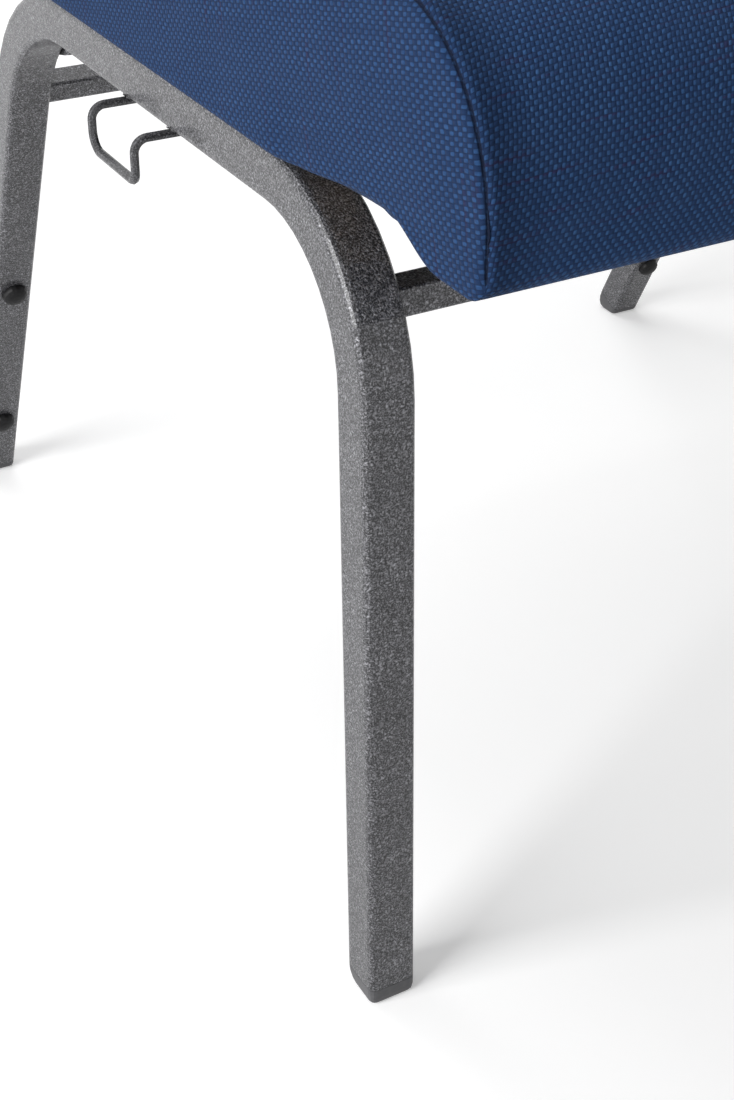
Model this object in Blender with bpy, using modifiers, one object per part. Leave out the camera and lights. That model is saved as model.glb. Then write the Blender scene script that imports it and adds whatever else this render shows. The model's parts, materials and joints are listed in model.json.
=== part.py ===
"""Stacking church chair with a welded square-tube frame and upholstered seat and back.

Metres, +Z up. The chair faces -Y and stands on the floor at z = 0. Pieces are placed in the frame's own
coordinates, where y = 0 is the front of a front foot, and hang from an empty that centres the chair.
"""
import math

import bmesh
import bpy
import numpy as np
from mathutils import Matrix, Vector

# Fits
GAP = 0.0003
SLIP = 0.0005

# Square frame tube
TUBE = 0.0222
TUBE_WALL = 0.0015
TUBE_CORNER = 0.0030
BEND_STEP = math.radians(8)

# Side frames
FRAME_WIDTH = 0.5256
RAIL_TOP = 0.3654
RAIL_SPAN = 0.3434
FRONT_LEAN = math.radians(1.6)
REAR_SPLAY = math.radians(25.8)
FRONT_BEND = 0.067
REAR_BEND = 0.100
FRONT_SOLE = 0.0084
REAR_SOLE = 0.0095

# Cross tubes
CROSS = 0.0127
CROSS_WALL = 0.0012
CROSS_CORNER = 0.0015
FRONT_CROSS_TURN = math.radians(32)
FRONT_CROSS_ROLL = math.radians(4)
FRONT_CROSS_IN = 0.0055
REAR_CROSS_DROP = 0.0062
REAR_CROSS_SETBACK = 0.0026

# Glides
GLIDE_STEM = 0.016
GLIDE_STEM_CORNER = 0.0016
GLIDE_ROUND = 0.0025
GLIDE_SWEEP = 0.0105
GLIDE_RINGS = 6

# Stacking bumpers
BUMPER_DIAMETER = 0.0145
BUMPER_HEIGHT = 0.0055
BUMPER_RIM = 0.0016
BUMPER_STEM = 0.0058
BUMPER_STEM_LENGTH = 0.0060
BUMPER_LOW = 0.048
BUMPER_PITCH = 0.122

# Ganging hook and eye
WIRE = 0.0040
HOOK_CENTRE = 0.201
HOOK_SPAN = 0.047
HOOK_REACH = 0.0145
HOOK_DROP = 0.0185
HOOK_TOP_BEND = 0.0060
HOOK_REAR_BEND = 0.0080
HOOK_FRONT_BEND = 0.0045
EYE_PLAY = 0.0050
EYE_BEND = 0.0060

# Screws and tee nuts
SCREW = 0.0058
SCREW_HEAD = 0.0120
SCREW_HEAD_HEIGHT = 0.0038
SCREW_CLEARANCE = 0.0004
SCREW_END_INSET = 0.0015
NUT_BARREL = 0.0080
NUT_FLANGE = 0.0190
NUT_FLANGE_THICKNESS = 0.0014
NUT_LENGTH = 0.0095

# Seat tabs
TAB_WIDTH = 0.030
TAB_LENGTH = 0.034
TAB_THICKNESS = 0.0030
TAB_CORNER = 0.0050
TAB_INSET = 0.040
TAB_HOLE_INSET = 0.0095

# Seat
SEAT_OVERHANG = 0.066
SEAT_SIDE_HEIGHT = 0.0805
SEAT_CROWN = 0.014
SEAT_BULGE = 0.0035
SEAT_PLAN_ROUND = 0.014
SEAM_ROUND = 0.012
BASE_ROUND = 0.0060
ROUND_SHARE = 0.45
NOSE_LENGTH = 0.060
NOSE_HEIGHT = 0.066
LIP_DROP = 0.0107
LIP_ROUND = 0.021
LIP_LENGTH = 0.066
SEAT_REAR_ROUND = 0.030
SEAT_REAR_BASE = 0.010
SEAT_BACK_GAP = 0.010
SEAT_BOARD = 0.012
SEAT_BOARD_SIDE = 0.0087
SEAT_BOARD_FRONT = 0.006
SEAT_BOARD_REAR = 0.012
SEAT_BOARD_CORNER = 0.012
DUST_COVER = 0.0008
DUST_COVER_MARGIN = 0.010

# Back
BACK_RECLINE = math.radians(13)
BACK_SETBACK = 0.0042
BACK_ROOT = 0.0100
BACK_PIVOT_DROP = 0.0368
BACK_FRAME_RISE = 0.535
BACK_FRAME_BEND = 0.056
BACK_BOARD = 0.010
BACK_BOTTOM = 0.150
BACK_RIM = 0.0090
BACK_SOLE = 0.012
BACK_FOAM = 0.030
BACK_CROWN = 0.011
BACK_EDGE_ROUND = 0.016
BACK_LOWER_CORNER = 0.030
BACK_DRAW = 0.0025
BACK_REAR_ROUND = 0.0060
CLOTH_CORNER = 0.0040
CLOTH_CORNER_SHARE = 0.2
REAR_PANEL = 0.0060
REAR_PANEL_CROWN = 0.0030
REAR_PANEL_EDGE = 0.0020
BACK_SCREW_LOW = 0.060
BACK_SCREW_PITCH = 0.220
ACCESS_HOLE = 0.0140

# Colours, roughness and metallic value, read from the photograph
POWDER_COAT = ((0.10, 0.10, 0.11), 0.45, 0.55)
DARK_PLASTIC = ((0.035, 0.035, 0.038), 0.50, 0.0)
BLACK_RUBBER = ((0.012, 0.012, 0.013), 0.60, 0.0)
BLUE_CLOTH = ((0.018, 0.050, 0.165), 0.90, 0.0)
BLACK_CLOTH = ((0.010, 0.010, 0.011), 0.95, 0.0)
PLYWOOD = ((0.45, 0.30, 0.16), 0.75, 0.0)
ZINC = ((0.55, 0.55, 0.57), 0.35, 1.0)

# Worked out from the sizes above
rail_centre = RAIL_TOP - TUBE / 2
rail_bottom = RAIL_TOP - TUBE
side_x = (FRAME_WIDTH - TUBE) / 2
inner_x = FRAME_WIDTH / 2 - TUBE
front_corner_y = TUBE / 2 + math.tan(FRONT_LEAN) * rail_centre
rear_corner_y = front_corner_y + RAIL_SPAN
front_turn = math.pi / 2 - FRONT_LEAN
rear_turn = math.pi / 2 - REAR_SPLAY
rail_start_y = front_corner_y + FRONT_BEND * math.tan(front_turn / 2)
rail_end_y = rear_corner_y - REAR_BEND * math.tan(rear_turn / 2)
front_foot = Vector((0, front_corner_y - math.tan(FRONT_LEAN) * (rail_centre - FRONT_SOLE), FRONT_SOLE))
rear_foot = Vector((0, rear_corner_y + math.tan(REAR_SPLAY) * (rail_centre - REAR_SOLE), REAR_SOLE))
front_up = Vector((0, math.sin(FRONT_LEAN), math.cos(FRONT_LEAN)))
rear_up = Vector((0, -math.sin(REAR_SPLAY), math.cos(REAR_SPLAY)))
rear_front = Vector((0, -math.cos(REAR_SPLAY), -math.sin(REAR_SPLAY)))

back_y = rear_corner_y + BACK_SETBACK
back_z = RAIL_TOP - BACK_PIVOT_DROP
back_tube_x = inner_x - GAP - TUBE / 2
back_board_rear = -TUBE / 2 - GAP
back_board_front = back_board_rear - BACK_BOARD
back_face = back_board_front - GAP - BACK_FOAM
back_cavity_half = back_tube_x + TUBE / 2 + SLIP
back_cavity_top = BACK_FRAME_RISE + SLIP
back_cavity_bottom = BACK_BOTTOM + BACK_SOLE
back_cavity_corner = BACK_FRAME_BEND + TUBE / 2 + SLIP
back_half = back_cavity_half + BACK_RIM
back_top = back_cavity_top + BACK_RIM
back_rear = TUBE / 2 + GAP + REAR_PANEL

seat_front = -SEAT_OVERHANG
seat_base = RAIL_TOP + GAP
upright_front = (seat_base - back_z) * math.tan(BACK_RECLINE) - TUBE / 2 / math.cos(BACK_RECLINE)
seat_rear = back_y + upright_front - SEAT_BACK_GAP
seam_top = seat_base + SEAT_SIDE_HEIGHT
seat_half = FRAME_WIDTH / 2
seat_board_half = seat_half - SEAT_BOARD_SIDE
seat_board_front = seat_front + LIP_LENGTH + SEAT_BOARD_FRONT
seat_board_rear = seat_rear - SEAT_BOARD_REAR
tab_top = RAIL_TOP - DUST_COVER - GAP
tab_hole_x = inner_x - GAP - TAB_WIDTH + TAB_HOLE_INSET
seat_screw_places = [
    (side, y) for side in (-1, 1) for y in (rail_start_y + TAB_INSET, rail_end_y - TAB_INSET)
]
back_screw_places = [
    (side, back_cavity_bottom + rise)
    for side in (-1, 1) for rise in (BACK_SCREW_LOW, BACK_SCREW_LOW + BACK_SCREW_PITCH)
]


for stale in list(bpy.data.objects):
    bpy.data.objects.remove(stale, do_unlink=True)

parts = bpy.data.collections.new("church_chair")
cutters = bpy.data.collections.new("cutters")
for collection in (parts, cutters):
    bpy.context.scene.collection.children.link(collection)


def dress(data, name, look):
    """Give object data its own Principled material."""
    colour, roughness, metallic = look
    material = bpy.data.materials.new(name)
    material.use_nodes = True
    shader = material.node_tree.nodes["Principled BSDF"]
    shader.inputs["Base Color"].default_value = (*colour, 1)
    shader.inputs["Roughness"].default_value = roughness
    shader.inputs["Metallic"].default_value = metallic
    data.materials.append(material)


def place(name, data, look, parent=None, location=(0, 0, 0), rotation=(0, 0, 0)):
    """Link one part under the chair or the back."""
    dress(data, name, look)
    part = bpy.data.objects.new(name, data)
    part.parent = parent or chair
    part.location = location
    part.rotation_euler = rotation
    parts.objects.link(part)
    return part


def cut(part, mesh, location=(0, 0, 0), rotation=(0, 0, 0)):
    """Take a cutter's mesh away from a part."""
    cutter = bpy.data.objects.new(part.name + "_cutter", mesh)
    cutter.parent = part.parent
    cutter.location = location
    cutter.rotation_euler = rotation
    cutter.hide_render = True
    cutter.display_type = "WIRE"
    cutters.objects.link(cutter)
    modifier = part.modifiers.new("cut", "BOOLEAN")
    modifier.operation = "DIFFERENCE"
    modifier.solver = "EXACT"
    modifier.object = cutter


def mesh_from(name, build):
    """Run a bmesh recipe, turn its faces outward and keep it as a mesh."""
    work = bmesh.new()
    build(work)
    bmesh.ops.recalc_face_normals(work, faces=work.faces)
    mesh = bpy.data.meshes.new(name)
    work.to_mesh(mesh)
    work.free()
    return mesh


def rod(diameter, length, sides=16):
    """A cylinder about Z, centred on the origin."""
    return mesh_from("rod", lambda work: bmesh.ops.create_cone(
        work, cap_ends=True, segments=sides, radius1=diameter / 2, radius2=diameter / 2, depth=length))


def box(low, high):
    """A box between two corners."""
    low, high = Vector(low), Vector(high)
    size = Matrix.Diagonal((*(high - low), 1))
    return mesh_from("box", lambda work: bmesh.ops.create_cube(
        work, size=1, matrix=Matrix.Translation((low + high) / 2) @ size))


def filleted(corners, radii):
    """Points along straight runs between corners, each inner corner turned by an arc of its radius."""
    corners = [Vector(corner) for corner in corners]
    points = [corners[0]]
    for before, corner, after, radius in zip(corners, corners[1:], corners[2:], radii):
        back_along = (before - corner).normalized()
        onward = (after - corner).normalized()
        half = back_along.angle(onward) / 2
        centre = corner + (back_along + onward).normalized() * radius / math.sin(half)
        arm = corner + back_along * radius / math.tan(half) - centre
        turn = math.pi - 2 * half
        axis = back_along.cross(onward).normalized()
        steps = max(3, round(turn / BEND_STEP))
        points += [centre + Matrix.Rotation(-turn * i / steps, 3, axis) @ arm for i in range(steps + 1)]
    return points + [corners[-1]]


def polyline(name, points, dimensions="3D", closed=False):
    """Curve data with one straight-run spline."""
    curve = bpy.data.curves.new(name, "CURVE")
    curve.dimensions = dimensions
    add_spline(curve, points, closed)
    return curve


def add_spline(curve, points, closed):
    spline = curve.splines.new("POLY")
    spline.points.add(len(points) - 1)
    for point, place_at in zip(spline.points, points):
        point.co = (*(*place_at, 0)[:3], 1)
    spline.use_cyclic_u = closed


def rounded_rectangle(left, right, low, high, radii, corner_steps=4, side_steps=1):
    """Closed outline, anticlockwise from the lower right corner. Radii run from there in the same order."""
    centres = (
        (right - radii[0], low + radii[0]), (right - radii[1], high - radii[1]),
        (left + radii[2], high - radii[2]), (left + radii[3], low + radii[3]),
    )
    outline = []
    for quarter, ((x, z), radius) in enumerate(zip(centres, radii)):
        angles = np.linspace(quarter - 1, quarter, corner_steps + 1) * math.pi / 2
        outline += [(x + radius * math.cos(a), z + radius * math.sin(a)) for a in angles]
    corners = [outline[i:i + corner_steps + 1] for i in range(0, len(outline), corner_steps + 1)]
    full = []
    for corner, following in zip(corners, corners[1:] + corners[:1]):
        full += corner
        start, end = np.array(corner[-1]), np.array(following[0])
        full += [tuple(start + (end - start) * i / side_steps) for i in range(1, side_steps)]
    return full


def square(side, corner, corner_steps=3):
    """Outline of a square section with rounded corners, centred on the origin."""
    half = side / 2
    return rounded_rectangle(-half, half, -half, half, [corner] * 4, corner_steps)


def baked(curve, name):
    """The mesh that a curve evaluates to, with its seams welded."""
    holder = bpy.data.objects.new(name, curve)
    cutters.objects.link(holder)
    evaluated = holder.evaluated_get(bpy.context.evaluated_depsgraph_get())
    mesh = bpy.data.meshes.new_from_object(evaluated)
    bpy.data.objects.remove(holder, do_unlink=True)
    work = bmesh.new()
    work.from_mesh(mesh)
    bmesh.ops.remove_doubles(work, verts=work.verts, dist=0.00001)
    bmesh.ops.recalc_face_normals(work, faces=work.faces)
    work.to_mesh(mesh)
    work.free()
    return mesh


def square_tube(name, points, side, wall, corner, parent=None, location=(0, 0, 0), rotation=(0, 0, 0)):
    """A hollow square tube, open at both ends, along a route."""
    section = bpy.data.objects.new(name + "_section", polyline(name, square(side, corner), "2D", True))
    cutters.objects.link(section)
    route = polyline(name, points)
    route.bevel_mode = "OBJECT"
    route.bevel_object = section
    skin = baked(route, name)
    bpy.data.objects.remove(section, do_unlink=True)
    tube = place(name, skin, POWDER_COAT, parent, location, rotation)
    walls = tube.modifiers.new("walls", "SOLIDIFY")
    walls.thickness = wall
    walls.offset = -1
    walls.use_even_offset = True
    return tube


def wire(name, points):
    """A round wire with closed ends along a route."""
    curve = polyline(name, points)
    curve.bevel_depth = WIRE / 2
    curve.bevel_resolution = 2
    curve.use_fill_caps = True
    return place(name, baked(curve, name), POWDER_COAT)


def plate(outline, thickness, holes=(), hole_diameter=0.0, sides=16):
    """A flat sheet in XY, centred in Z, with round holes through it."""
    curve = polyline("plate", outline, "2D", True)
    turns = np.arange(sides) * 2 * math.pi / sides
    for x, y in holes:
        add_spline(curve, [(x + hole_diameter / 2 * math.cos(a), y + hole_diameter / 2 * math.sin(a))
                           for a in turns], True)
    curve.fill_mode = "BOTH"
    curve.extrude = thickness / 2
    return baked(curve, "plate")


def turned(name, profile, look, steps, parent=None, location=(0, 0, 0), rotation=(0, 0, 0), ring=False):
    """A profile of (radius, height) points turned about Z, closed on the axis or as a ring."""
    mesh = bpy.data.meshes.new(name)
    count = len(profile)
    edges = [(i, (i + 1) % count) for i in range(count if ring else count - 1)]
    mesh.from_pydata([(r, 0, z) for r, z in profile], edges, [])
    part = place(name, mesh, look, parent, location, rotation)
    screw = part.modifiers.new("turn", "SCREW")
    screw.steps = steps
    screw.render_steps = steps
    screw.use_merge_vertices = True
    screw.merge_threshold = 0.00001
    screw.use_normal_flip = True
    return part


def loft(name, rings):
    """A closed skin through rings of equal count, with its two ends filled."""
    rings = np.asarray(rings)
    stations, count = rings.shape[:2]
    first = np.arange(stations - 1)[:, None] * count
    along = np.arange(count)
    onward = (along + 1) % count
    quads = np.stack([first + along, first + onward, first + count + onward, first + count + along], -1)
    faces = quads.reshape(-1, 4).tolist()
    faces += [along[::-1].tolist(), (along + (stations - 1) * count).tolist()]
    mesh = bpy.data.meshes.new(name)
    mesh.from_pydata(rings.reshape(-1, 3).tolist(), [], faces)
    work = bmesh.new()
    work.from_mesh(mesh)
    bmesh.ops.recalc_face_normals(work, faces=work.faces)
    work.to_mesh(mesh)
    work.free()
    return mesh


def side_frame(name, side):
    """Front leg, seat rail and rear leg as one bent tube, drilled for its bumpers."""
    corners = (front_foot, (0, front_corner_y, rail_centre), (0, rear_corner_y, rail_centre), rear_foot)
    frame = square_tube(name, filleted(corners, (FRONT_BEND, REAR_BEND)), TUBE, TUBE_WALL, TUBE_CORNER,
                        location=(side * side_x, 0, 0))
    for height in (BUMPER_LOW, BUMPER_LOW + BUMPER_PITCH):
        mouth = rear_foot + rear_up * height + rear_front * TUBE / 2
        cut(frame, rod(BUMPER_STEM + 2 * GAP, 4 * TUBE_WALL),
            (side * side_x, mouth.y, mouth.z), (math.pi / 2 + REAR_SPLAY, 0, 0))


def cross_tube(name, y, z, roll):
    """A small square tube between the inner faces of the side frames."""
    reach = inner_x - GAP
    square_tube(name, [Vector((-reach, 0, 0)), Vector((reach, 0, 0))], CROSS, CROSS_WALL, CROSS_CORNER,
                location=(0, y, z), rotation=(roll, 0, 0))


def glide_rings(foot, up):
    """Sections of a plug from the top of its stem down to a sole that lies flat on the floor."""
    across = Vector((1, 0, 0))
    forward = across.cross(up)

    def ring(outline, drop):
        return [foot + across * u + forward * v - up * drop for u, v in outline]

    def sole(angle):
        """One section of the sole: a small round at its front and sides, a long sweep behind."""
        turn = 1 - math.cos(angle)
        inset = GLIDE_ROUND * turn ** 2
        half = TUBE / 2 - inset
        corner = max(TUBE_CORNER - inset / 2, GLIDE_STEM_CORNER)
        heel = GLIDE_SWEEP * turn - TUBE / 2
        level = ring(rounded_rectangle(-half, half, heel, half, [corner] * 4, 3), GAP)
        return [point - up * (point.z / up.z) * math.sin(angle) for point in level]

    stem = TUBE - 2 * TUBE_WALL - 2 * GAP
    rings = [
        ring(square(stem - GLIDE_STEM_CORNER, GLIDE_STEM_CORNER), -GLIDE_STEM),
        ring(square(stem, GLIDE_STEM_CORNER), GLIDE_STEM_CORNER - GLIDE_STEM),
        ring(square(stem, GLIDE_STEM_CORNER), GAP),
    ]
    return rings + [sole(angle) for angle in np.linspace(0, math.pi / 2, GLIDE_RINGS)]


def glide(name, side, foot, up):
    """A plastic plug in the end of a leg."""
    place(name, loft(name, glide_rings(foot, up)), DARK_PLASTIC, location=(side * side_x, 0, 0))


def bumper(name, side, height):
    """A rubber button whose stem is pressed through the front wall of a rear leg."""
    radius, stem = BUMPER_DIAMETER / 2, BUMPER_STEM / 2
    angles = np.linspace(0, math.pi / 2, 5)
    dome = [(radius * math.cos(a), BUMPER_RIM + (BUMPER_HEIGHT - BUMPER_RIM) * math.sin(a)) for a in angles]
    dome[-1] = (0, BUMPER_HEIGHT)
    profile = [(0, -BUMPER_STEM_LENGTH), (stem, -BUMPER_STEM_LENGTH), (stem, 0), (radius, 0), *dome]
    seat = rear_foot + rear_up * height + rear_front * (TUBE / 2 + GAP)
    turned(name, profile, BLACK_RUBBER, 16, location=(side * side_x, seat.y, seat.z),
           rotation=(math.pi / 2 + REAR_SPLAY, 0, 0))


def ganging_hook():
    """Wire that leaves the left rail, turns down and comes back, to drop into the next chair's eye."""
    rear_y = HOOK_CENTRE + HOOK_SPAN / 2
    front_y = HOOK_CENTRE - HOOK_SPAN / 2
    high = rail_bottom - GAP - WIRE / 2
    low = high - HOOK_DROP
    out = -FRAME_WIDTH / 2 - HOOK_REACH
    corners = (
        (-inner_x, rear_y, high), (out, rear_y, high), (out, rear_y, low),
        (out, front_y, low), (out, front_y, high), (-inner_x, front_y, high),
    )
    wire("ganging_hook", filleted(corners, (HOOK_TOP_BEND, HOOK_REAR_BEND, HOOK_FRONT_BEND, HOOK_TOP_BEND)))


def ganging_eye():
    """Flat wire loop under the right rail, wide enough for a hook of the same make."""
    half = HOOK_SPAN / 2 + WIRE + EYE_PLAY
    level = rail_bottom - GAP - WIRE / 2
    out = FRAME_WIDTH / 2 + HOOK_REACH
    corners = (
        (inner_x, HOOK_CENTRE + half, level), (out, HOOK_CENTRE + half, level),
        (out, HOOK_CENTRE - half, level), (inner_x, HOOK_CENTRE - half, level),
    )
    wire("ganging_eye", filleted(corners, (EYE_BEND, EYE_BEND)))


def screw(name, grip, parent, location, rotation):
    """Pan-head screw along +Z. Its head lies below the origin and its shank is as long as its grip."""
    head, shank = SCREW_HEAD / 2, SCREW / 2
    profile = [
        (0, -SCREW_HEAD_HEIGHT), (head * 0.7, -SCREW_HEAD_HEIGHT), (head, -SCREW_HEAD_HEIGHT * 0.45),
        (head, 0), (shank, 0), (shank, grip), (0, grip),
    ]
    turned(name, profile, ZINC, 12, parent, location, rotation)


def tee_nut(name, parent, location, rotation):
    """Flanged barrel let into a board. The flange's outer face is at the origin and the barrel runs to -Z."""
    bore = SCREW / 2 + SCREW_CLEARANCE / 2
    barrel, flange = NUT_BARREL / 2, NUT_FLANGE / 2
    profile = [
        (bore, -NUT_LENGTH), (barrel, -NUT_LENGTH), (barrel, -NUT_FLANGE_THICKNESS),
        (flange, -NUT_FLANGE_THICKNESS), (flange, 0), (bore, 0),
    ]
    turned(name, profile, ZINC, 16, parent, location, rotation, ring=True)


def seat_section(y):
    """Closed outline of the seat across X at one station, from under the middle round to the top."""
    height = seam_top - seat_base
    nose = min(max((y - seat_front) / NOSE_LENGTH, 0), 1)
    nose_foot = seam_top - NOSE_HEIGHT
    top = nose_foot + NOSE_HEIGHT * math.sqrt(1 - (1 - nose) ** 2)
    tail = max(y - (seat_rear - SEAT_REAR_ROUND), 0)
    top -= SEAT_REAR_ROUND - math.sqrt(max(SEAT_REAR_ROUND ** 2 - tail ** 2, 0))

    lip = min(max((seat_front + LIP_LENGTH - y) / (LIP_LENGTH / 3), 0), 1)
    base = seat_base - LIP_DROP * lip * lip * (3 - 2 * lip)
    toe = max(seat_front + LIP_ROUND - y, 0)
    base += LIP_ROUND - math.sqrt(max(LIP_ROUND ** 2 - toe ** 2, 0))
    heel = max(y - (seat_rear - SEAT_REAR_BASE), 0)
    base += SEAT_REAR_BASE - math.sqrt(max(SEAT_REAR_BASE ** 2 - heel ** 2, 0))

    end = min(y - seat_front, seat_rear - y)
    tuck = max(SEAT_PLAN_ROUND - end, 0)
    half = seat_half - (SEAT_PLAN_ROUND - math.sqrt(max(SEAT_PLAN_ROUND ** 2 - tuck ** 2, 0)))
    fullness = (top - base) / height
    round_top = min(SEAM_ROUND, ROUND_SHARE * (top - base))
    round_base = min(BASE_ROUND, ROUND_SHARE * (top - base))

    outline = [(half * f, base) for f in (0.0, 0.35, 0.7)]
    outline += [(half - round_base * (1 - math.sin(a)), base + round_base * (1 - math.cos(a)))
                for a in np.radians((0, 30, 60, 90))]
    for f in (0.3, 0.65):
        outline.append((half + SEAT_BULGE * fullness * 4 * f * (1 - f),
                        base + round_base + f * (top - base - round_base - round_top)))
    outline += [(half - round_top * (1 - math.cos(a)), top - round_top * (1 - math.sin(a)))
                for a in np.radians((0, 30, 60, 90))]
    outline += [(half * f, top) for f in (0.8, 0.6, 0.4, 0.2, 0.0)]
    crowned = []
    for x, z in outline:
        lift = SEAT_CROWN * fullness ** 2 if z > base + round_base else 0
        share = min(max((z - (top - round_top)) / round_top, 0), 1)
        crowned.append((x, y, z + lift * share * (1 - (x / half) ** 2)))
    mirrored = [(-x, y_at, z) for x, y_at, z in crowned[-2:0:-1]]
    return crowned + mirrored


def seat_stations():
    """Stations along the seat, closer together where its nose, lip and rear edge curve."""
    nose = seat_front + NOSE_LENGTH * (1 - np.cos(np.linspace(0, math.pi / 2, 14)))
    flat = np.linspace(seat_front + NOSE_LENGTH, seat_rear - SEAT_REAR_ROUND, 7)
    tail = seat_rear - SEAT_REAR_ROUND * (1 - np.sin(np.linspace(0, math.pi / 2, 6)))
    return np.concatenate([nose, flat[1:], tail[1:]])


def seat_cushion():
    """Foam under cloth: a crowned top, a waterfall front with a lip, and a skirt round the board."""
    mesh = loft("seat_cushion", [seat_section(y) for y in seat_stations()])
    cushion = place("seat_cushion", mesh, BLUE_CLOTH)
    half = seat_board_half + GAP
    cut(cushion, box((-half, seat_board_front - GAP, seat_base - SEAT_BOARD),
                     (half, seat_board_rear + GAP, seat_base + SEAT_BOARD + GAP)))


def seat_board():
    """Plywood panel in the cushion's skirt, bored and counterbored for its tee nuts."""
    outline = rounded_rectangle(-seat_board_half, seat_board_half, seat_board_front, seat_board_rear,
                                [SEAT_BOARD_CORNER] * 4)
    holes = [(side * tab_hole_x, y) for side, y in seat_screw_places]
    top = seat_base + SEAT_BOARD
    board = place("seat_board", plate(outline, SEAT_BOARD, holes, NUT_BARREL + 2 * GAP), PLYWOOD,
                  location=(0, 0, seat_base + SEAT_BOARD / 2))
    for x, y in holes:
        cut(board, rod(NUT_FLANGE + 2 * GAP, 2 * (NUT_FLANGE_THICKNESS + GAP), 24), (x, y, top))


def dust_cover():
    """Thin cloth stapled under the board between the rails."""
    half = inner_x - GAP
    outline = rounded_rectangle(-half, half, seat_board_front + DUST_COVER_MARGIN,
                                seat_board_rear - DUST_COVER_MARGIN, [SEAT_BOARD_CORNER] * 4)
    holes = [(side * tab_hole_x, y) for side, y in seat_screw_places]
    place("seat_dust_cover", plate(outline, DUST_COVER, holes, NUT_BARREL), BLACK_CLOTH,
          location=(0, 0, RAIL_TOP - DUST_COVER / 2))


def seat_fixing(label, side, y):
    """One tab on a rail, with its screw and the tee nut that the screw enters."""
    left, right = sorted((side * (inner_x - GAP), side * (inner_x - GAP - TAB_WIDTH)))
    free = [TAB_CORNER if side < 0 else GAP] * 2 + [TAB_CORNER if side > 0 else GAP] * 2
    outline = rounded_rectangle(left, right, y - TAB_LENGTH / 2, y + TAB_LENGTH / 2, free)
    hole = (side * tab_hole_x, y)
    sheet = plate(outline, TAB_THICKNESS, [hole], SCREW + 2 * SCREW_CLEARANCE)
    place("seat_tab_" + label, sheet, POWDER_COAT, location=(0, 0, tab_top - TAB_THICKNESS / 2))
    head_top = tab_top - TAB_THICKNESS - GAP
    nut_face = seat_base + SEAT_BOARD
    grip = nut_face - SCREW_END_INSET - head_top
    screw("seat_screw_" + label, grip, chair, (*hole, head_top), (0, 0, 0))
    tee_nut("seat_tee_nut_" + label, chair, (*hole, nut_face), (0, 0, 0))


def back_frame():
    """Inverted U of square tube, drilled from behind for the screws that hold the back board."""
    x, top = back_tube_x, BACK_FRAME_RISE - TUBE / 2
    corners = ((-x, 0, -BACK_ROOT), (-x, 0, top), (x, 0, top), (x, 0, -BACK_ROOT))
    frame = square_tube("back_frame", filleted(corners, (BACK_FRAME_BEND, BACK_FRAME_BEND)),
                        TUBE, TUBE_WALL, TUBE_CORNER, parent=back)
    along = (math.pi / 2, 0, 0)
    for side, z in back_screw_places:
        cut(frame, rod(SCREW + 2 * SCREW_CLEARANCE, 4 * TUBE_WALL), (side * x, -TUBE / 2, z), along)
        cut(frame, rod(ACCESS_HOLE, 4 * TUBE_WALL), (side * x, TUBE / 2, z), along)


def least_round(inset):
    """Smallest corner of an outline drawn in by an inset, so that nested outlines never cross."""
    return CLOTH_CORNER + CLOTH_CORNER_SHARE * inset


def back_outline(inset, side_steps=3):
    """Outline of the back in X and Z, drawn in by an inset."""
    upper = back_cavity_corner + BACK_RIM
    radii = [max(radius - inset, least_round(inset)) for radius in (BACK_LOWER_CORNER, upper)]
    radii = [radii[0], radii[1], radii[1], radii[0]]
    return rounded_rectangle(-back_half + inset, back_half - inset, BACK_BOTTOM + inset, back_top - inset,
                             radii, 6, side_steps)


def dome(rise, across, up):
    """Height of a pillow's crown at shares of its half width and half height."""
    return rise * (1 - across ** 2) * (1 - up ** 2)


def back_cushion():
    """Foam under cloth in front of the board, with a rim that wraps the frame and slots for the uprights."""
    def ring(y, inset):
        return [(x, y, z) for x, z in back_outline(inset)]

    rings = [ring(back_rear - BACK_REAR_ROUND * (1 - math.cos(a)), BACK_REAR_ROUND * (1 - math.sin(a)))
             for a in np.radians((0, 30, 60, 90))]
    middle = (back_rear - BACK_REAR_ROUND + back_face + BACK_EDGE_ROUND) / 2
    rings.append(ring(middle, BACK_DRAW))
    rings += [ring(back_face + BACK_EDGE_ROUND * (1 - math.sin(a)), BACK_EDGE_ROUND * (1 - math.cos(a)))
              for a in np.radians((0, 25, 50, 75))]
    middle_z, half_height = (back_top + BACK_BOTTOM) / 2, (back_top - BACK_BOTTOM) / 2
    for share in (0.08, 0.2, 0.36, 0.54, 0.74):
        drawn_in = BACK_EDGE_ROUND + share * (half_height - BACK_EDGE_ROUND)
        rings.append([(x, back_face - dome(BACK_CROWN, x / back_half, (z - middle_z) / half_height), z)
                      for x, z in back_outline(drawn_in)])
    cushion = place("back_cushion", loft("back_cushion", rings), BLUE_CLOTH, parent=back)
    cavity = rounded_rectangle(-back_cavity_half, back_cavity_half, back_cavity_bottom, back_cavity_top,
                               [SLIP, back_cavity_corner, back_cavity_corner, SLIP], 8)
    depth = 2 * back_rear - back_board_front + GAP
    cut(cushion, plate([(x, z) for x, z in cavity], depth),
        (0, back_board_front - GAP + depth / 2, 0), (math.pi / 2, 0, 0))
    reach = TUBE / 2 + SLIP
    for side in (-1, 1):
        x = side * back_tube_x
        cut(cushion, box((x - reach, -reach, BACK_BOTTOM - BACK_SOLE),
                         (x + reach, reach, back_cavity_bottom + BACK_SOLE)))


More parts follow.
